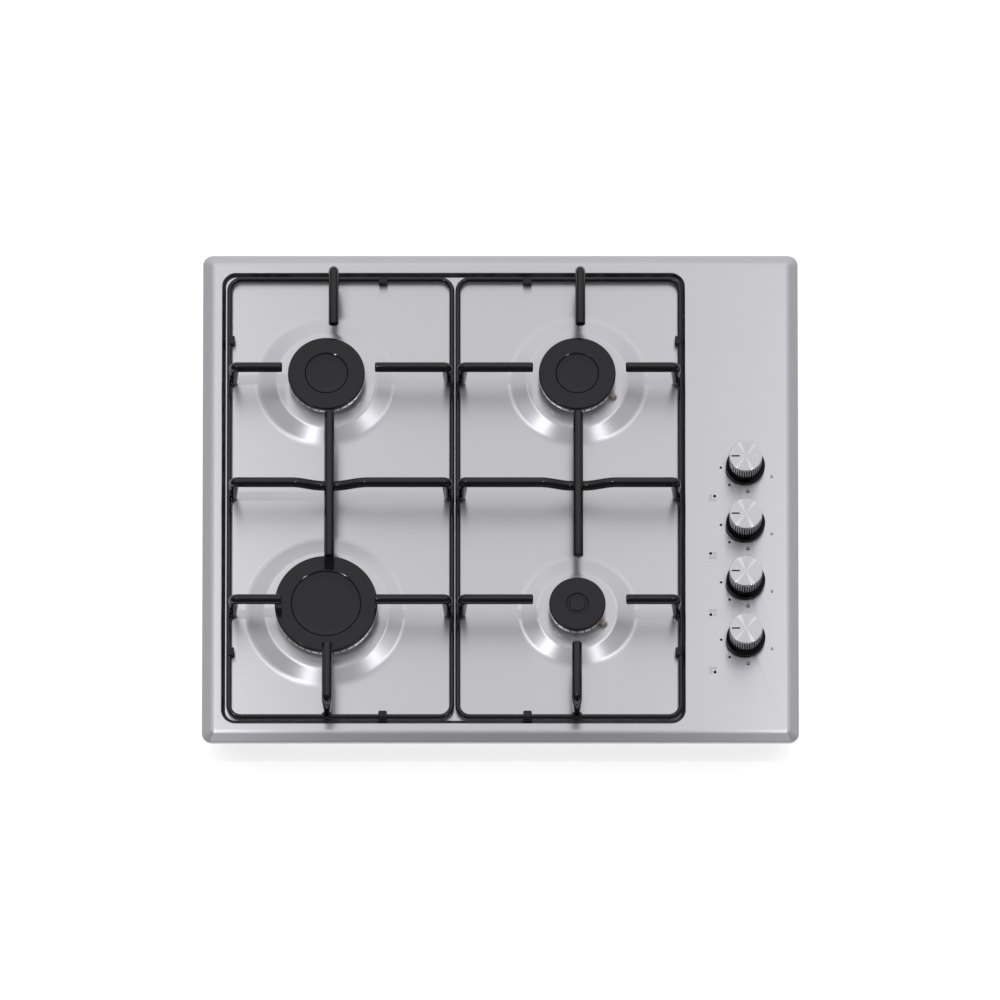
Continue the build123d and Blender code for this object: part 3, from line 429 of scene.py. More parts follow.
# ---- materials ----
def brushed_plate():
    """Stainless sheet brushed along its length: fine streaks, and highlights drawn across them."""
    colour = (0.612, 0.605, 0.638)
    material, shader = plain("stainless_plate", colour, Metallic=1.0, Anisotropic=0.83)
    along_grain = places(material, scale=(3, 700, 700))
    streaks = noise(material, along_grain, scale=1.0, detail=4.0, roughness=0.65)
    varied(material, shader, colour, contrast=0.035, roughness=(0.285, 0.31), value=streaks)
    tangent = node(material, "ShaderNodeTangent", direction_type="UV_MAP", uv_map="across_grain")
    material.node_tree.links.new(tangent.outputs["Tangent"], shader.inputs["Tangent"])
    wave = noise(material, places(material), scale=9.0, detail=1.0)
    crown = crowned(material, SHADING_CROWN_RADIUS)
    bump(material, shader, wave, distance=0.25 * MM, strength=0.5, over=crown)
    return material


def zinc_sheet(name, colour):
    """Zinc-coated sheet: faint crystal patches and a dull sheen."""
    material, shader = plain(name, colour, Metallic=1.0)
    patches = node(material, "ShaderNodeTexVoronoi", {"Vector": places(material), "Scale": 90.0})
    shade = patches.outputs["Distance"]
    varied(material, shader, colour, contrast=0.14, roughness=(0.36, 0.52), value=shade)
    grain = noise(material, places(material), scale=300.0)
    bump(material, shader, grain, distance=0.05 * MM, strength=0.4)
    return material


def turned_metal(name, colour, roughness, contrast=0.08, relief=0.5):
    """Machined metal with fine rings round the upright axis."""
    material, shader = plain(name, colour, Metallic=1.0)
    rings = noise(material, places(material, scale=(20, 20, 2500)), scale=1.0, detail=3.0)
    varied(material, shader, colour, contrast, roughness, rings)
    bump(material, shader, rings, distance=0.03 * MM, strength=relief)
    return material


def cast_metal(name, colour, roughness):
    """Cast metal: grainy skin and blotches."""
    material, shader = plain(name, colour, Metallic=1.0)
    grain = noise(material, places(material), scale=900.0, detail=5.0, roughness=0.7)
    blotches = noise(material, places(material), scale=60.0, detail=4.0)
    varied(material, shader, colour, contrast=0.12, roughness=roughness, value=blotches)
    bump(material, shader, grain, distance=0.12 * MM, strength=0.6)
    return material


def enamel(name, colour, roughness, gloss):
    """Glossy enamel with the faint orange-peel of a fired coat."""
    material, shader = plain(name, colour, IOR=1.5, Specular_IOR_Level=gloss)
    peel = noise(material, places(material), scale=260.0, detail=2.0)
    clouds = noise(material, places(material), scale=40.0)
    dulled = (roughness, roughness + 0.05)
    varied(material, shader, colour, contrast=0.25, roughness=dulled, value=clouds)
    bump(material, shader, peel, distance=0.04 * MM, strength=0.35)
    return material


def spun_top():
    """Spun knob top: fine rings, and highlights drawn out from the middle."""
    colour = (0.615, 0.61, 0.635)
    material, shader = plain("knob_top", colour, Metallic=1.0, Anisotropic=1.0)
    shader.inputs["Anisotropic Rotation"].default_value = 0.25
    tangent = node(material, "ShaderNodeTangent", direction_type="RADIAL", axis="Z")
    material.node_tree.links.new(tangent.outputs["Tangent"], shader.inputs["Tangent"])
    haze = noise(material, places(material), scale=120.0, detail=2.0)
    varied(material, shader, colour, contrast=0.05, roughness=(0.205, 0.23), value=haze)
    return material


def moulded(name, colour, roughness, grain=500.0, depth=0.04 * MM, index=1.48):
    """Moulded plastic, rubber or foam with a fine grain."""
    material, shader = plain(name, colour, IOR=index)
    clouds = noise(material, places(material), scale=90.0)
    varied(material, shader, colour, contrast=0.2, roughness=roughness, value=clouds)
    skin = noise(material, places(material), scale=grain, detail=4.0)
    bump(material, shader, skin, distance=depth, strength=0.6)
    return material


def heat_tinted(name):
    """Stainless probe, straw to brown where the flame reaches it."""
    material, shader = plain(name, (0.5, 0.46, 0.42), Metallic=1.0)
    scorching = noise(material, places(material), scale=300.0)
    tint = tones(material, scorching, dark=(0.42, 0.30, 0.20), light=(0.62, 0.57, 0.52))
    material.node_tree.links.new(tint, shader.inputs["Base Color"])
    shader.inputs["Roughness"].default_value = 0.33
    skin = noise(material, places(material), scale=800.0)
    bump(material, shader, skin, distance=0.03 * MM, strength=0.5)
    return material


MATERIALS = {
    "stainless_plate": brushed_plate(),
    "galvanised_casing": zinc_sheet("galvanised_casing", (0.55, 0.56, 0.57)),
    "foam_seal": moulded("foam_seal", (0.05, 0.05, 0.055), (0.8, 0.95), grain=1500.0, depth=0.25 * MM),
    "black_enamel": enamel("black_enamel", (0.015, 0.014, 0.020), roughness=0.06, gloss=0.32),
    "support_enamel": enamel("support_enamel", (0.005, 0.0045, 0.008), roughness=0.05, gloss=0.5),
    "support_rubber": moulded("support_rubber", (0.02, 0.02, 0.02), (0.55, 0.7)),
    "head_aluminium": turned_metal(
        "head_aluminium", (0.93, 0.93, 0.94), (0.12, 0.20), contrast=0.05, relief=0.1),
    "cup_aluminium": cast_metal("cup_aluminium", (0.55, 0.55, 0.55), (0.4, 0.55)),
    "brass": turned_metal("brass", (0.75, 0.55, 0.27), (0.2, 0.35), contrast=0.1),
    "ceramic": moulded("ceramic", (0.66, 0.62, 0.54), (0.18, 0.3), grain=300.0, depth=0.02 * MM),
    "probe_steel": heat_tinted("probe_steel"),
    "knob_silver": turned_metal("knob_silver", (0.68, 0.68, 0.70), (0.14, 0.20), relief=0.04),
    "knob_black": moulded("knob_black", (0.004, 0.004, 0.005), (0.22, 0.32), index=1.18),
    "spindle_steel": turned_metal("spindle_steel", (0.6, 0.6, 0.6), (0.25, 0.4)),
    "tap_body": cast_metal("tap_body", (0.6, 0.6, 0.59), (0.35, 0.5)),
    "pipe_aluminium": turned_metal("pipe_aluminium", (0.72, 0.72, 0.73), (0.28, 0.4)),
    "rail_steel": zinc_sheet("rail_steel", (0.5, 0.5, 0.5)),
    "screw_steel": turned_metal("screw_steel", (0.62, 0.62, 0.6), (0.25, 0.4)),
    "black_plastic": moulded("black_plastic", (0.025, 0.025, 0.025), (0.45, 0.6)),
    "white_plastic": moulded("white_plastic", (0.78, 0.78, 0.75), (0.4, 0.55)),
}

# Second finishes on a piece, beside the one that its slot names. Three of them are painted shade: on the
# recess wall, in the knobs' flutes and in the caps' ring marks.
SPUN_TOP = spun_top()
POINTER_BLACK = moulded("pointer_black", (0.006, 0.006, 0.006), (0.35, 0.5), index=1.18)
PRINT_BLACK = moulded("print_black", (0.004, 0.004, 0.004), (0.5, 0.65), index=1.18)
# Painted shade: a dark metal in the knobs' flutes, for the shade that falls in them.
FLUTE_PAINTED_SHADE = turned_metal("flute_painted_shade", (0.07, 0.07, 0.075), (0.3, 0.4), relief=0.04)
# Painted shade: a dark sheet on the recess wall, standing in for the shade and dark reflections there.
RECESS_PAINTED_SHADE = zinc_sheet("recess_painted_shade", (0.13, 0.13, 0.14))
# Painted shade: matte black in the caps' ring marks, for the shade down in their line.
MARK_PAINTED_SHADE = moulded("cap_mark_painted_shade", (0.003, 0.003, 0.003), (0.3, 0.4), index=1.2)

for entry in frame["record"]["subparts"]:
    data = frame["nodes"][entry["node"]].data
    data.materials.clear()
    data.materials.append(MATERIALS[entry["material_slot"]])


# ---- hob plate ----
# Slot of the painted shade on the recess wall.
RECESS_SHADE_SLOT = 1
HOLE_SIDES = 32


def plate_places():
    """The plate's outer edges and its recess, from the frame."""
    low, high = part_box("hob_plate")
    recess = (
        low.x + RECESS_MARGINS["left"],
        low.y + RECESS_MARGINS["front"],
        high.x - RECESS_MARGINS["right"],
        high.y - RECESS_MARGINS["rear"],
    )
    return (low.x, low.y, high.x, high.y), recess


def grown(rectangle, amount):
    """A rectangle moved outwards on all four sides."""
    x0, y0, x1, y1 = rectangle
    return (x0 - amount, y0 - amount, x1 + amount, y1 + amount)


def rim_rings(outer):
    """Hem, bevel and crease as rounded rectangles that shrink inwards."""
    inset_z = [(0, 0), (0, HEM), (BEVEL, RIM_LEVEL), (BEVEL + CREASE_REACH, RIM_LEVEL)]
    rounds = [0, HEM_ROUND, CREASE_ROUND, 0]
    profile = rounded([(inset, 0, z) for inset, z in inset_z], rounds, steps=8)
    rings = []
    for p in profile:
        share = min(p.x / BEVEL, 1.0)
        corner = OUTER_CORNER + share * (CREASE_CORNER - OUTER_CORNER)
        rings.append(rounded_rectangle(*grown(outer, -p.x), corner, p.z))
    return rings


def recess_rings(recess):
    """The recess wall from the rim's level down to its floor."""
    floor = RIM_LEVEL - RECESS_DEPTH
    inset_z = [(-RECESS_REACH, RIM_LEVEL), (0, RIM_LEVEL)]
    inset_z += [(RECESS_WALL, floor), (RECESS_WALL + RECESS_REACH, floor)]
    rounds = [0, RECESS_ROUND, RECESS_ROUND, 0]
    profile = rounded([(inset, 0, z) for inset, z in inset_z], rounds, steps=5)[1:-1]
    return [rounded_rectangle(*grown(recess, -p.x), RECESS_CORNER - p.x, p.z) for p in profile]


def disc_rings(burner):
    """The raised disc: foot, cone and top, as circles."""
    centre = centre_of("burner_cap_" + burner)
    floor = RIM_LEVEL - RECESS_DEPTH
    outer, inner = DISC_RADII[burner]
    points = [(outer + DISC_FOOT_REACH, floor), (outer, floor)]
    points += [(inner, floor + DISC_RISE), (inner - DISC_TOP_REACH, floor + DISC_RISE)]
    profile = turned_profile(points, [0, DISC_FOOT_ROUND, DISC_TOP_ROUND, 0], steps=9)
    return [circle(centre, radius, z) for radius, z in profile]


def small_holes(burner, z):
    """Rings for the electrode, the sensor and the cup's opening in the disc's top."""
    centre = centre_of("burner_cap_" + burner)
    holes = [circle(centre, CUP_RADII[burner] + SLIP_GAP, z)]
    for angle, offset, radius in (
        (ELECTRODE_ANGLES[burner], ELECTRODE["offset"], ELECTRODE["radius"] + SLIP_GAP),
        (SENSOR_ANGLE, SENSOR_OFFSET, SENSOR_HOLE),
    ):
        holes.append(circle(beside_cap(burner, angle, offset), radius, z, HOLE_SIDES))
    return holes


def recess_wall(bm, rings):
    """The wall of the recess, in a dark second finish below its brow, which is painted shade."""
    wall = [vertex_ring(bm, ring) for ring in rings]
    for upper, lower in zip(wall, wall[1:]):
        bridge(bm, upper, lower, RECESS_SHADE_SLOT if upper[0].co.z < RIM_LEVEL - BROW else 0)
    return wall


def make_plate():
    """The pressed sheet with its holes, which a modifier gives its thickness."""
    outer, recess = plate_places()
    bm = bmesh.new()
    rim = loft(bm, rim_rings(outer))
    wall = recess_wall(bm, recess_rings(recess))
    knobs = [circle(centre_of("knob_" + b), KNOB_HOLE, RIM_LEVEL, HOLE_SIDES) for b in BURNERS]
    flat_fill(bm, rim[-1], [wall[0]] + [vertex_ring(bm, k) for k in knobs])
    feet = []
    for burner in BURNERS:
        disc = loft(bm, disc_rings(burner))
        feet.append(disc[0])
        holes = [vertex_ring(bm, hole) for hole in small_holes(burner, disc[-1][0].co.z)]
        flat_fill(bm, disc[-1], holes)
    flat_fill(bm, wall[-1], feet)
    plate = finished(bm, "hob_plate_sheet", "root",
                     [MATERIALS["stainless_plate"], RECESS_PAINTED_SHADE], ["hob_plate"])
    grain = plate.data.uv_layers.new(name="across_grain")
    for loop in plate.data.loops:
        spot = plate.data.vertices[loop.vertex_index].co
        grain.data[loop.index].uv = (spot.y, -spot.x)
    thickness = plate.modifiers.new("sheet", "SOLIDIFY")
    thickness.thickness = SHEET
    thickness.offset = -1.0
    keep_flats_flat(plate)


# ---- pan supports ----
def bar_sections(path, taper_from, taper_to):
    """Full thickness above taper_from, thinning to the leg's end at taper_to."""
    sections = []
    for point in path:
        share = min(max((taper_from - point.z) / (taper_from - taper_to), 0.0), 1.0)
        sections.append((point, (BAR + share * (LEG_END - BAR)) / 2))
    return sections


def weld(bm, spot, along):
    """A flattened bead where a leg is welded to the loop."""
    profile = turned_profile(WELD_OUTLINE, WELD_ROUNDS, steps=4)
    made = lathe(bm, profile, (0, 0), count=20)
    stretch = Vector((1, 1, 1)) + WELD_STRETCH * Vector((abs(along.x), abs(along.y), 0))
    for ring in made:
        for vertex in ring:
            vertex.co = spot + Vector((vertex.co.x * stretch.x, vertex.co.y * stretch.y, vertex.co.z))


def make_support(side):
    """One pan support: wire loop, fingers, joggled cross bar and the long bar over it."""
    low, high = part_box("pan_support_" + side)
    x0, x1 = low.x + WIRE / 2, high.x - WIRE / 2
    y0, y1 = low.y + WIRE / 2, high.y - WIRE / 2
    top = high.z - BAR / 2
    taper, leg_end = top - TAPER_DROP, LOOP_LEVEL - WIRE / 2
    middle, shifts = centre_of("burner_cap_rear_" + side).x, BAR_SHIFTS[side]
    burner_rows = {end: centre_of("burner_cap_" + end + "_" + side).y for end in ("rear", "front")}
    bar_x = middle + shifts["middle"]
    leg_x0, leg_x1 = x0 + LEG_INSET, x1 - LEG_INSET
    leg_y0, leg_y1 = y0 + LEG_INSET, y1 - LEG_INSET
    bm = bmesh.new()

    loop = rounded_rectangle(x0, y0, x1, y1, LOOP_CORNER, LOOP_LEVEL, BEND_STEPS)
    tube(bm, [(p, WIRE / 2) for p in loop], WIRE_SIDES, closed=True)

    def finger(foot, tip):
        path = [(*foot, leg_end), (*foot, taper), (*foot, top), (*tip, top)]
        bend = rounded(path, [0, 0, FINGER_BEND, 0], BEND_STEPS)
        tube(bm, with_tip(bar_sections(bend, taper, leg_end), TIP_ROUND))
        outward = Vector(foot) - Vector(tip)
        crosswise = Vector((outward.y, outward.x, 0)).normalized()
        spot = Vector((*foot, LOOP_LEVEL)) + Vector((*outward.normalized(), 0)) * LEG_INSET / 2
        weld(bm, spot, crosswise)

    for end, burner_row in burner_rows.items():
        row = burner_row + ROW_SHIFTS[end]
        finger((leg_x0, row), (middle - TIP_GAPS["left"], row))
        finger((leg_x1, row), (middle + TIP_GAPS["right"], row))
    rear_x, front_x = middle + shifts["rear"], middle + shifts["front"]
    finger((rear_x, leg_y1), (rear_x, burner_rows["rear"] + TIP_GAPS["rear"]))
    finger((front_x, leg_y0), (front_x, burner_rows["front"] - TIP_GAPS["front"]))

    drop = BAR - WELD_SINK
    low_half = JOGGLE_HALF - JOGGLE_RUN
    cross = [(leg_x0, 0, leg_end), (leg_x0, 0, taper), (leg_x0, 0, top), (bar_x - JOGGLE_HALF, 0, top)]
    cross += [(bar_x - low_half, 0, top - drop), (bar_x + low_half, 0, top - drop)]
    cross += [(bar_x + JOGGLE_HALF, 0, top), (leg_x1, 0, top), (leg_x1, 0, taper), (leg_x1, 0, leg_end)]
    bends = [0, 0, FINGER_BEND] + [JOGGLE_BEND] * 4 + [FINGER_BEND, 0, 0]
    tube(bm, bar_sections(rounded(cross, bends, BEND_STEPS), taper, leg_end))
    for x, out in ((leg_x0, -1), (leg_x1, 1)):
        weld(bm, Vector((x + out * LEG_INSET / 2, 0, LOOP_LEVEL)), Vector((0, 1, 0)))

    ends = (burner_rows["front"] + BAR_GAPS["front"], burner_rows["rear"] - BAR_GAPS["rear"])
    half = [(Vector((bar_x, y, top)), BAR / 2) for y in (sum(ends) / 2, ends[1])]
    other = [(Vector((bar_x, y, top)), BAR / 2) for y in (sum(ends) / 2, ends[0])]
    front_half = with_tip(other, TIP_ROUND)
    tube(bm, list(reversed(front_half))[:-1] + with_tip(half, TIP_ROUND))
    finished(bm, "pan_support_" + side + "_bars", "pan_support_" + side,
             [MATERIALS["support_enamel"]], ["pan_support_" + side])


# ---- burners ----
CAP_ROUND = 1.5 * MM
CAP_UNDER_ROUND = 1.0 * MM
CAP_LIP = 1.5 * MM
CAP_SIDES = 160
RIB_INSET = 4.6 * MM
RIB_WIDTH = 2.0 * MM
RIB_ROUNDS = [0.5 * MM, 0.4 * MM, 0.4 * MM, 0.4 * MM]

# The ring mark: a brow that slopes in, a sharp line, a step up to the dish inside it.
# The radius is that of the line, or of the groove's outer edge.
MARK_RADII = {
    "rear_left": 20.5 * MM,
    "rear_right": 20.5 * MM,
    "front_left": 33.5 * MM,
    "front_right": 11.0 * MM,
}
MARK_BROW = 1.1 * MM
MARK_BROW_ROUND = 1.5 * MM
MARK_DROP = 0.28 * MM
MARK_HALF = 0.5 * MM
MARK_DEPTH = 0.7 * MM
MARK_STEP = 0.35 * MM
MARK_ROUND = 0.3 * MM
MARK_SHADE_SLOT = 1
DISH_DEPTH = 0.9 * MM
DISH_RUN = 6.0 * MM
DISH_ROUND = 14.0 * MM

# The smallest cap has a plain groove in place of the mark and its dish.
GROOVED_CAP = "front_right"
GROOVE_WIDTH = 3.5 * MM
GROOVE_DEPTH = 0.8 * MM
GROOVE_ROUND = 0.5 * MM


def cap_outline(burner, low, high):
    """Half outline of a cap from the middle of its underside to the middle of its top."""
    radius, mark = (high.x - low.x) / 2, MARK_RADII[burner]
    under = low.z + CAP_LIP
    rib = radius - RIB_INSET - SLIP_GAP
    points = [(0, under), (rib - RIB_WIDTH, under), (rib - RIB_WIDTH, low.z), (rib, low.z), (rib, under)]
    points += [(radius, under), (radius, high.z)]
    radii = [0, *RIB_ROUNDS, CAP_UNDER_ROUND, CAP_ROUND]
    if burner == GROOVED_CAP:
        floor = high.z - GROOVE_DEPTH
        points += [(mark, high.z), (mark - GROOVE_DEPTH, floor)]
        points += [(mark - GROOVE_WIDTH + GROOVE_DEPTH, floor), (mark - GROOVE_WIDTH, high.z)]
        points += [(0, high.z)]
        radii += [GROOVE_ROUND] * 4 + [0]
    else:
        points += [(mark + MARK_BROW + MARK_HALF, high.z), (mark + MARK_HALF, high.z - MARK_DROP)]
        points += [(mark, high.z - MARK_DEPTH)]
        points += [(mark - MARK_HALF, high.z - MARK_STEP), (mark - DISH_RUN, high.z - DISH_DEPTH)]
        points += [(0, high.z - DISH_DEPTH)]
        radii += [MARK_BROW_ROUND, MARK_ROUND, 0, MARK_ROUND, DISH_ROUND, 0]
    return turned_profile(points, radii)


def make_cap(burner):
    node_name = "burner_cap_" + burner
    low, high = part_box(node_name)
    centre = centre_of(node_name)
    bm = bmesh.new()
    lathe(bm, cap_outline(burner, low, high), centre, CAP_SIDES)
    # Faces down in the ring mark's line get painted shade.
    for face in bm.faces:
        middle = face.calc_center_median()
        reach = (middle - centre).to_2d().length
        sunk = high.z - DISH_DEPTH < middle.z < high.z - MARK_DROP
        if sunk and abs(reach - MARK_RADII[burner]) < MARK_HALF:
            face.material_index = MARK_SHADE_SLOT
    cap = finished(bm, node_name + "_lid", "cap_" + burner,
                   [MATERIALS["black_enamel"], MARK_PAINTED_SHADE], [node_name])
    keep_flats_flat(cap)


ROD_ROUNDS = [0, 0.4 * MM, 0.3 * MM, 0.4 * MM, 0.4 * MM, 0.3 * MM, 1.0 * MM, 0]
TIP_ROUNDS = [0, 0.1 * MM, 0.5 * MM, 0]
TIP_FINISH = 1


def make_electrodes():
    """Glazed ceramic rods, each with a shoulder under the plate and a steel tip."""
    low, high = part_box("spark_electrodes")
    under = RIM_LEVEL - RECESS_DEPTH + DISC_RISE - SHEET
    step, top = under - ELECTRODE["shoulder_height"], high.z - ELECTRODE["tip_height"]
    radius, shoulder = ELECTRODE["radius"], ELECTRODE["shoulder"]
    rod = [(0, low.z), (radius, low.z), (radius, step), (shoulder, step), (shoulder, under)]
    rod += [(radius, under), (radius, top), (0, top)]
    tip_radius, tip_foot = ELECTRODE["tip"], top - ELECTRODE["tip_sink"]
    tip = [(0, tip_foot), (tip_radius, tip_foot), (tip_radius, high.z), (0, high.z)]
    bm = bmesh.new()
    for burner in BURNERS:
        spot = beside_cap(burner, ELECTRODE_ANGLES[burner], ELECTRODE["offset"])
        lathe(bm, turned_profile(rod, ROD_ROUNDS), spot, count=40)
        lathe(bm, turned_profile(tip, TIP_ROUNDS), spot, count=24, material=TIP_FINISH)
    finished(bm, "spark_electrode_rods", "root",
             [MATERIALS["ceramic"], MATERIALS["probe_steel"]], ["spark_electrodes"])


# ---- knobs ----
FLUTES = 42
FLUTE_DEPTH = 0.6 * MM
FLUTE_RUN_OUT = 0.4 * MM
FLUTE_HOLLOW = 0.7
FLUTE_SHADE_SHARE = 0.5
KNOB_EDGE = 0.9 * MM
FLUTE_STOP = 2.2 * KNOB_EDGE
KNOB_WALL = 2.2 * MM
TOP_FINISH = 1
POINTER_FINISH = 2
FLUTE_SHADE_SLOT = 3
POINTER = {"from": 5.8 * MM, "to": 13.8 * MM, "width": 1.5 * MM, "depth": 0.4 * MM}


def fluted_ring(centre, radius, z, depth, per_flute=6):
    """A closed row of points whose radius dips in once for each flute."""
    count = FLUTES * per_flute
    ring = []
    for i in range(count):
        turn = 2 * math.pi * i / count
        dip = max(0.0, math.cos(FLUTES * turn)) ** FLUTE_HOLLOW
        reach = radius - depth * dip
        ring.append(Vector((centre.x + reach * math.cos(turn), centre.y + reach * math.sin(turn), z)))
    return ring


def make_knob(burner):
    node_name = "knob_" + burner
    low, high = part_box(node_name)
    centre, radius = centre_of(node_name), (high.x - low.x) / 2
    bm = bmesh.new()
    flute_top = high.z - FLUTE_STOP
    levels = [(low.z, FLUTE_DEPTH), (flute_top - FLUTE_RUN_OUT, FLUTE_DEPTH), (flute_top, 0)]
    rings = [fluted_ring(centre, radius, z, depth) for z, depth in levels]
    edge = turned_profile([(radius, flute_top), (radius, high.z), (0, high.z)], [0, KNOB_EDGE, 0])
    rings += [fluted_ring(centre, reach, z, 0) for reach, z in edge[1:-1]]
    side = loft(bm, rings)
    # Faces deep in the flutes get painted shade.
    for face in bm.faces:
        nearest = min((v.co - centre).to_2d().length for v in face.verts)
        in_flute = nearest < radius - FLUTE_SHADE_SHARE * FLUTE_DEPTH
        if in_flute and face.calc_center_median().z < flute_top:
            face.material_index = FLUTE_SHADE_SLOT
    inner_levels = (low.z, high.z - KNOB_WALL)
    hollow = loft(bm, [fluted_ring(centre, radius - KNOB_WALL, z, 0) for z in inner_levels])
    bridge(bm, hollow[0], side[0])
    flat_fill(bm, hollow[-1])
    x_in, x_out = centre.x - POINTER["from"], centre.x - POINTER["to"]
    half = POINTER["width"] / 2
    slot = [(x_out, -half), (x_in, -half), (x_in, half), (x_out, half)]
    slot_levels = (high.z, high.z - POINTER["depth"])
    slot_rings = [[Vector((x, centre.y + y, z)) for x, y in slot] for z in slot_levels]
    cut = loft(bm, slot_rings, POINTER_FINISH)
    flat_fill(bm, side[-1], [cut[0]], TOP_FINISH)
    flat_fill(bm, cut[-1], material=POINTER_FINISH)
    finishes = [MATERIALS["knob_silver"], SPUN_TOP, POINTER_BLACK, FLUTE_PAINTED_SHADE]
    knob = finished(bm, node_name + "_cap", "control_" + burner,
                    finishes, [node_name], sharp=50)
    keep_flats_flat(knob)


SKIRT_BORE = 4.2 * MM
SKIRT_HOLLOW = 2.1 * MM
SKIRT_WALL = 1.5 * MM
SKIRT_BAND = 2.4 * MM
SKIRT_SLOPE = 2.2 * MM
SKIRT_ROUNDS = [0, 0.4 * MM, 0.3 * MM, 0.5 * MM, 1.0 * MM, 0.7 * MM, 0]


def make_skirt(burner):
    node_name = "knob_skirt_" + burner
    low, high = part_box(node_name)
    outer, ceiling = (high.x - low.x) / 2, low.z + SKIRT_HOLLOW
    points = [(SKIRT_BORE, ceiling), (outer - SKIRT_WALL, ceiling), (outer - SKIRT_WALL, low.z)]
    points += [(outer, low.z), (outer, low.z + SKIRT_BAND), (outer - SKIRT_SLOPE, high.z)]
    points += [(SKIRT_BORE, high.z)]
    profile = turned_profile(points, SKIRT_ROUNDS)
    bm = bmesh.new()
    lathe(bm, profile + profile[:1], centre_of(node_name))
    skirt = finished(bm, node_name + "_ring", "control_" + burner,
                     [MATERIALS["knob_black"]], [node_name])
    keep_flats_flat(skirt)


# ---- printed marks round the knobs ----
PRINT_LIFT = 0.03 * MM
PRINT_SIDES = 24
DOT = 1.25 * MM
DOT_REACH = 24.0 * MM
DOT_ANGLES = (180, 229)
FLAMES = (
    {"angle": 275, "reach": 24.4 * MM, "size": 2.4 * MM},
    {"angle": 340, "reach": 27.0 * MM, "size": 1.7 * MM},
)
FLAME_HOLLOW = 0.5
FLAME_ROUND = 0.25
FLAME_OUTLINE = [
    (0, -1.0), (0.7, -0.7), (0.75, -0.1), (0.35, 0.5), (0.2, 1.2), (-0.2, 0.6), (-0.6, 0.2), (-0.75, -0.5),
]
ICON_OFFSET = Vector((-32.0, -31.8, 0)) * MM
ICON_PITCH = 4.0 * MM
ICON_RADIUS = 1.5 * MM
ICON_LINE = 0.25 * MM
FILLED_CIRCLE = {"rear_right": (1, 1), "rear_left": (-1, 1), "front_left": (-1, -1), "front_right": (1, -1)}


def dot(bm, spot, radius):
    bm.faces.new(vertex_ring(bm, circle(spot, radius, spot.z, PRINT_SIDES)))


def line_ring(bm, outline, inner):
    """A drawn line between two closed rows of points."""
    bridge(bm, vertex_ring(bm, inner), vertex_ring(bm, outline))


def flame(bm, spot, size):
    """A small flame symbol drawn as an outline."""
    rows = []
    for reach in (size, FLAME_HOLLOW * size):
        corners = [spot + reach * Vector((x, y, 0)) for x, y in FLAME_OUTLINE]
        rows.append(rounded(corners, FLAME_ROUND * size, steps=3, closed=True))
    line_ring(bm, *rows)


def make_prints():
    bm = bmesh.new()
    for burner in BURNERS:
        knob = centre_of("knob_" + burner)
        knob.z = RIM_LEVEL + PRINT_LIFT
        for angle in DOT_ANGLES:
            dot(bm, around(knob, angle, DOT_REACH), DOT)
        for mark in FLAMES:
            flame(bm, around(knob, mark["angle"], mark["reach"]), mark["size"])
        for sx in (-1, 1):
            for sy in (-1, 1):
                spot = knob + ICON_OFFSET + Vector((sx, sy, 0)) * ICON_PITCH / 2
                if (sx, sy) == FILLED_CIRCLE[burner]:
                    dot(bm, spot, ICON_RADIUS)
                    continue
                radii = (ICON_RADIUS, ICON_RADIUS - ICON_LINE)
                line_ring(bm, *(circle(spot, radius, spot.z, PRINT_SIDES) for radius in radii))
    finished(bm, "printed_marks", "root", [PRINT_BLACK])


# ---- floor and light ----
FLOOR_HALF = 6.0
FLOOR_LIFT = 0.7
SOFTBOX_DISTANCE = 4.0
SOFTBOX_WIDTH = 0.14
SOFTBOX_LENGTH = 0.35
SOFTBOXES = {
    "softbox_left": {"right": -15, "back": -3, "power": 7.0},
    "softbox_right": {"right": 15, "back": -3, "power": 5.5},
}

# The sky is brightest towards its peak and falls off to a plain level at the edge's angle.
SKY_PEAK = (0.0, 0.574, 0.819)
SKY_NARROWING = (0.7, 1.0, 1.0)
SKY_EDGE_COSINE = 0.52
SKY_LEVELS = (0.15, 1.05)


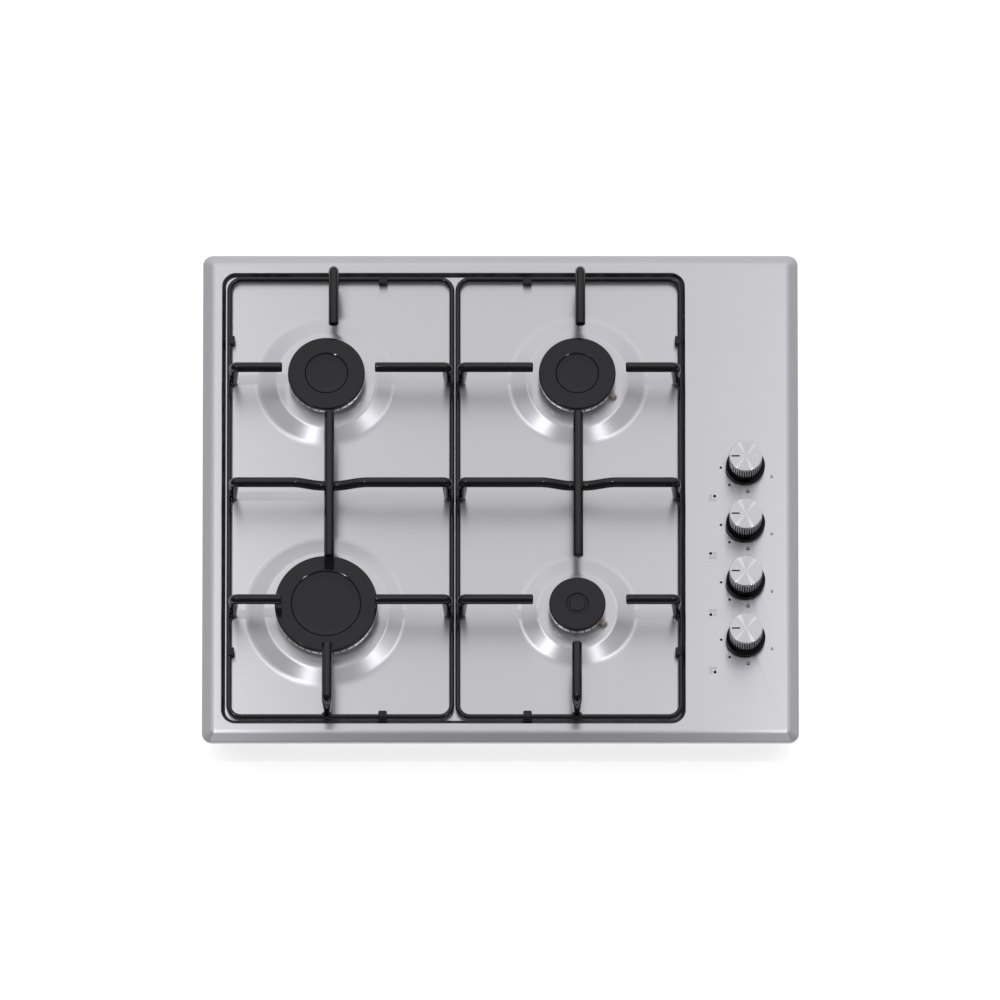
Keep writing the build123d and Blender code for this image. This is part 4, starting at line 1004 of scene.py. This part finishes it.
def make_floor():
    """A white floor under the casing, lifted towards white where the camera or a mirror sees it."""
    low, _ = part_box("bottom_casing")
    bm = bmesh.new()
    corners = [(-1, -1), (1, -1), (1, 1), (-1, 1)]
    bm.faces.new(vertex_ring(bm, [Vector((x * FLOOR_HALF, y * FLOOR_HALF, low.z)) for x, y in corners]))
    mesh = bpy.data.meshes.new("floor")
    bm.to_mesh(mesh)
    bm.free()
    floor = bpy.data.objects.new("floor", mesh)
    bpy.context.scene.collection.objects.link(floor)
    material, shader = plain("floor_white", (0.92, 0.92, 0.92), Roughness=0.9)
    path = node(material, "ShaderNodeLightPath").outputs
    seen = path["Is Camera Ray"]
    for ray in ("Is Glossy Ray", "Is Transmission Ray"):
        inputs = {0: seen, 1: path[ray]}
        seen = node(material, "ShaderNodeMath", inputs, operation="MAXIMUM").outputs[0]
    inputs = {0: seen, 1: FLOOR_LIFT}
    lift = node(material, "ShaderNodeMath", inputs, operation="MULTIPLY").outputs[0]
    shader.inputs["Emission Color"].default_value = (1, 1, 1, 1)
    material.node_tree.links.new(lift, shader.inputs["Emission Strength"])
    mesh.materials.append(material)


def softbox(name, right, back, power):
    """A rectangular lamp that faces the hob, its tilt in degrees off the zenith."""
    data = bpy.data.lights.new(name, "AREA")
    data.shape = "RECTANGLE"
    data.size, data.size_y = SOFTBOX_WIDTH, SOFTBOX_LENGTH
    data.energy = power
    lamp = bpy.data.objects.new(name, data)
    bpy.context.scene.collection.objects.link(lamp)
    direction = Vector((math.tan(math.radians(right)), math.tan(math.radians(back)), 1))
    lamp.location = direction.normalized() * SOFTBOX_DISTANCE
    lamp.rotation_euler = lamp.location.to_track_quat("Z", "Y").to_euler()


def make_light():
    for name, settings in SOFTBOXES.items():
        softbox(name, **settings)
    world = bpy.data.worlds.new("studio")
    bpy.context.scene.world = world
    world.use_nodes = True
    background = world.node_tree.nodes["Background"]
    background.inputs["Color"].default_value = (1, 1, 1, 1)
    direction = node(world, "ShaderNodeTexCoord").outputs["Generated"]
    narrowed = vector_math(world, "MULTIPLY", direction, SKY_NARROWING)
    unit = vector_math(world, "NORMALIZE", narrowed)
    cosine = vector_math(world, "DOT_PRODUCT", unit, SKY_PEAK, output="Value")
    level = spread(world, cosine, *SKY_LEVELS, from_low=SKY_EDGE_COSINE, from_high=1.0)
    world.node_tree.links.new(level, background.inputs["Strength"])


make_camera()
make_plate()
for side in ("left", "right"):
    make_support(side)
for burner in BURNERS:
    make_cap(burner)
    make_knob(burner)
    make_skirt(burner)
make_electrodes()
make_prints()
make_floor()
make_light()
bpy.context.scene.view_settings.view_transform = "Standard"
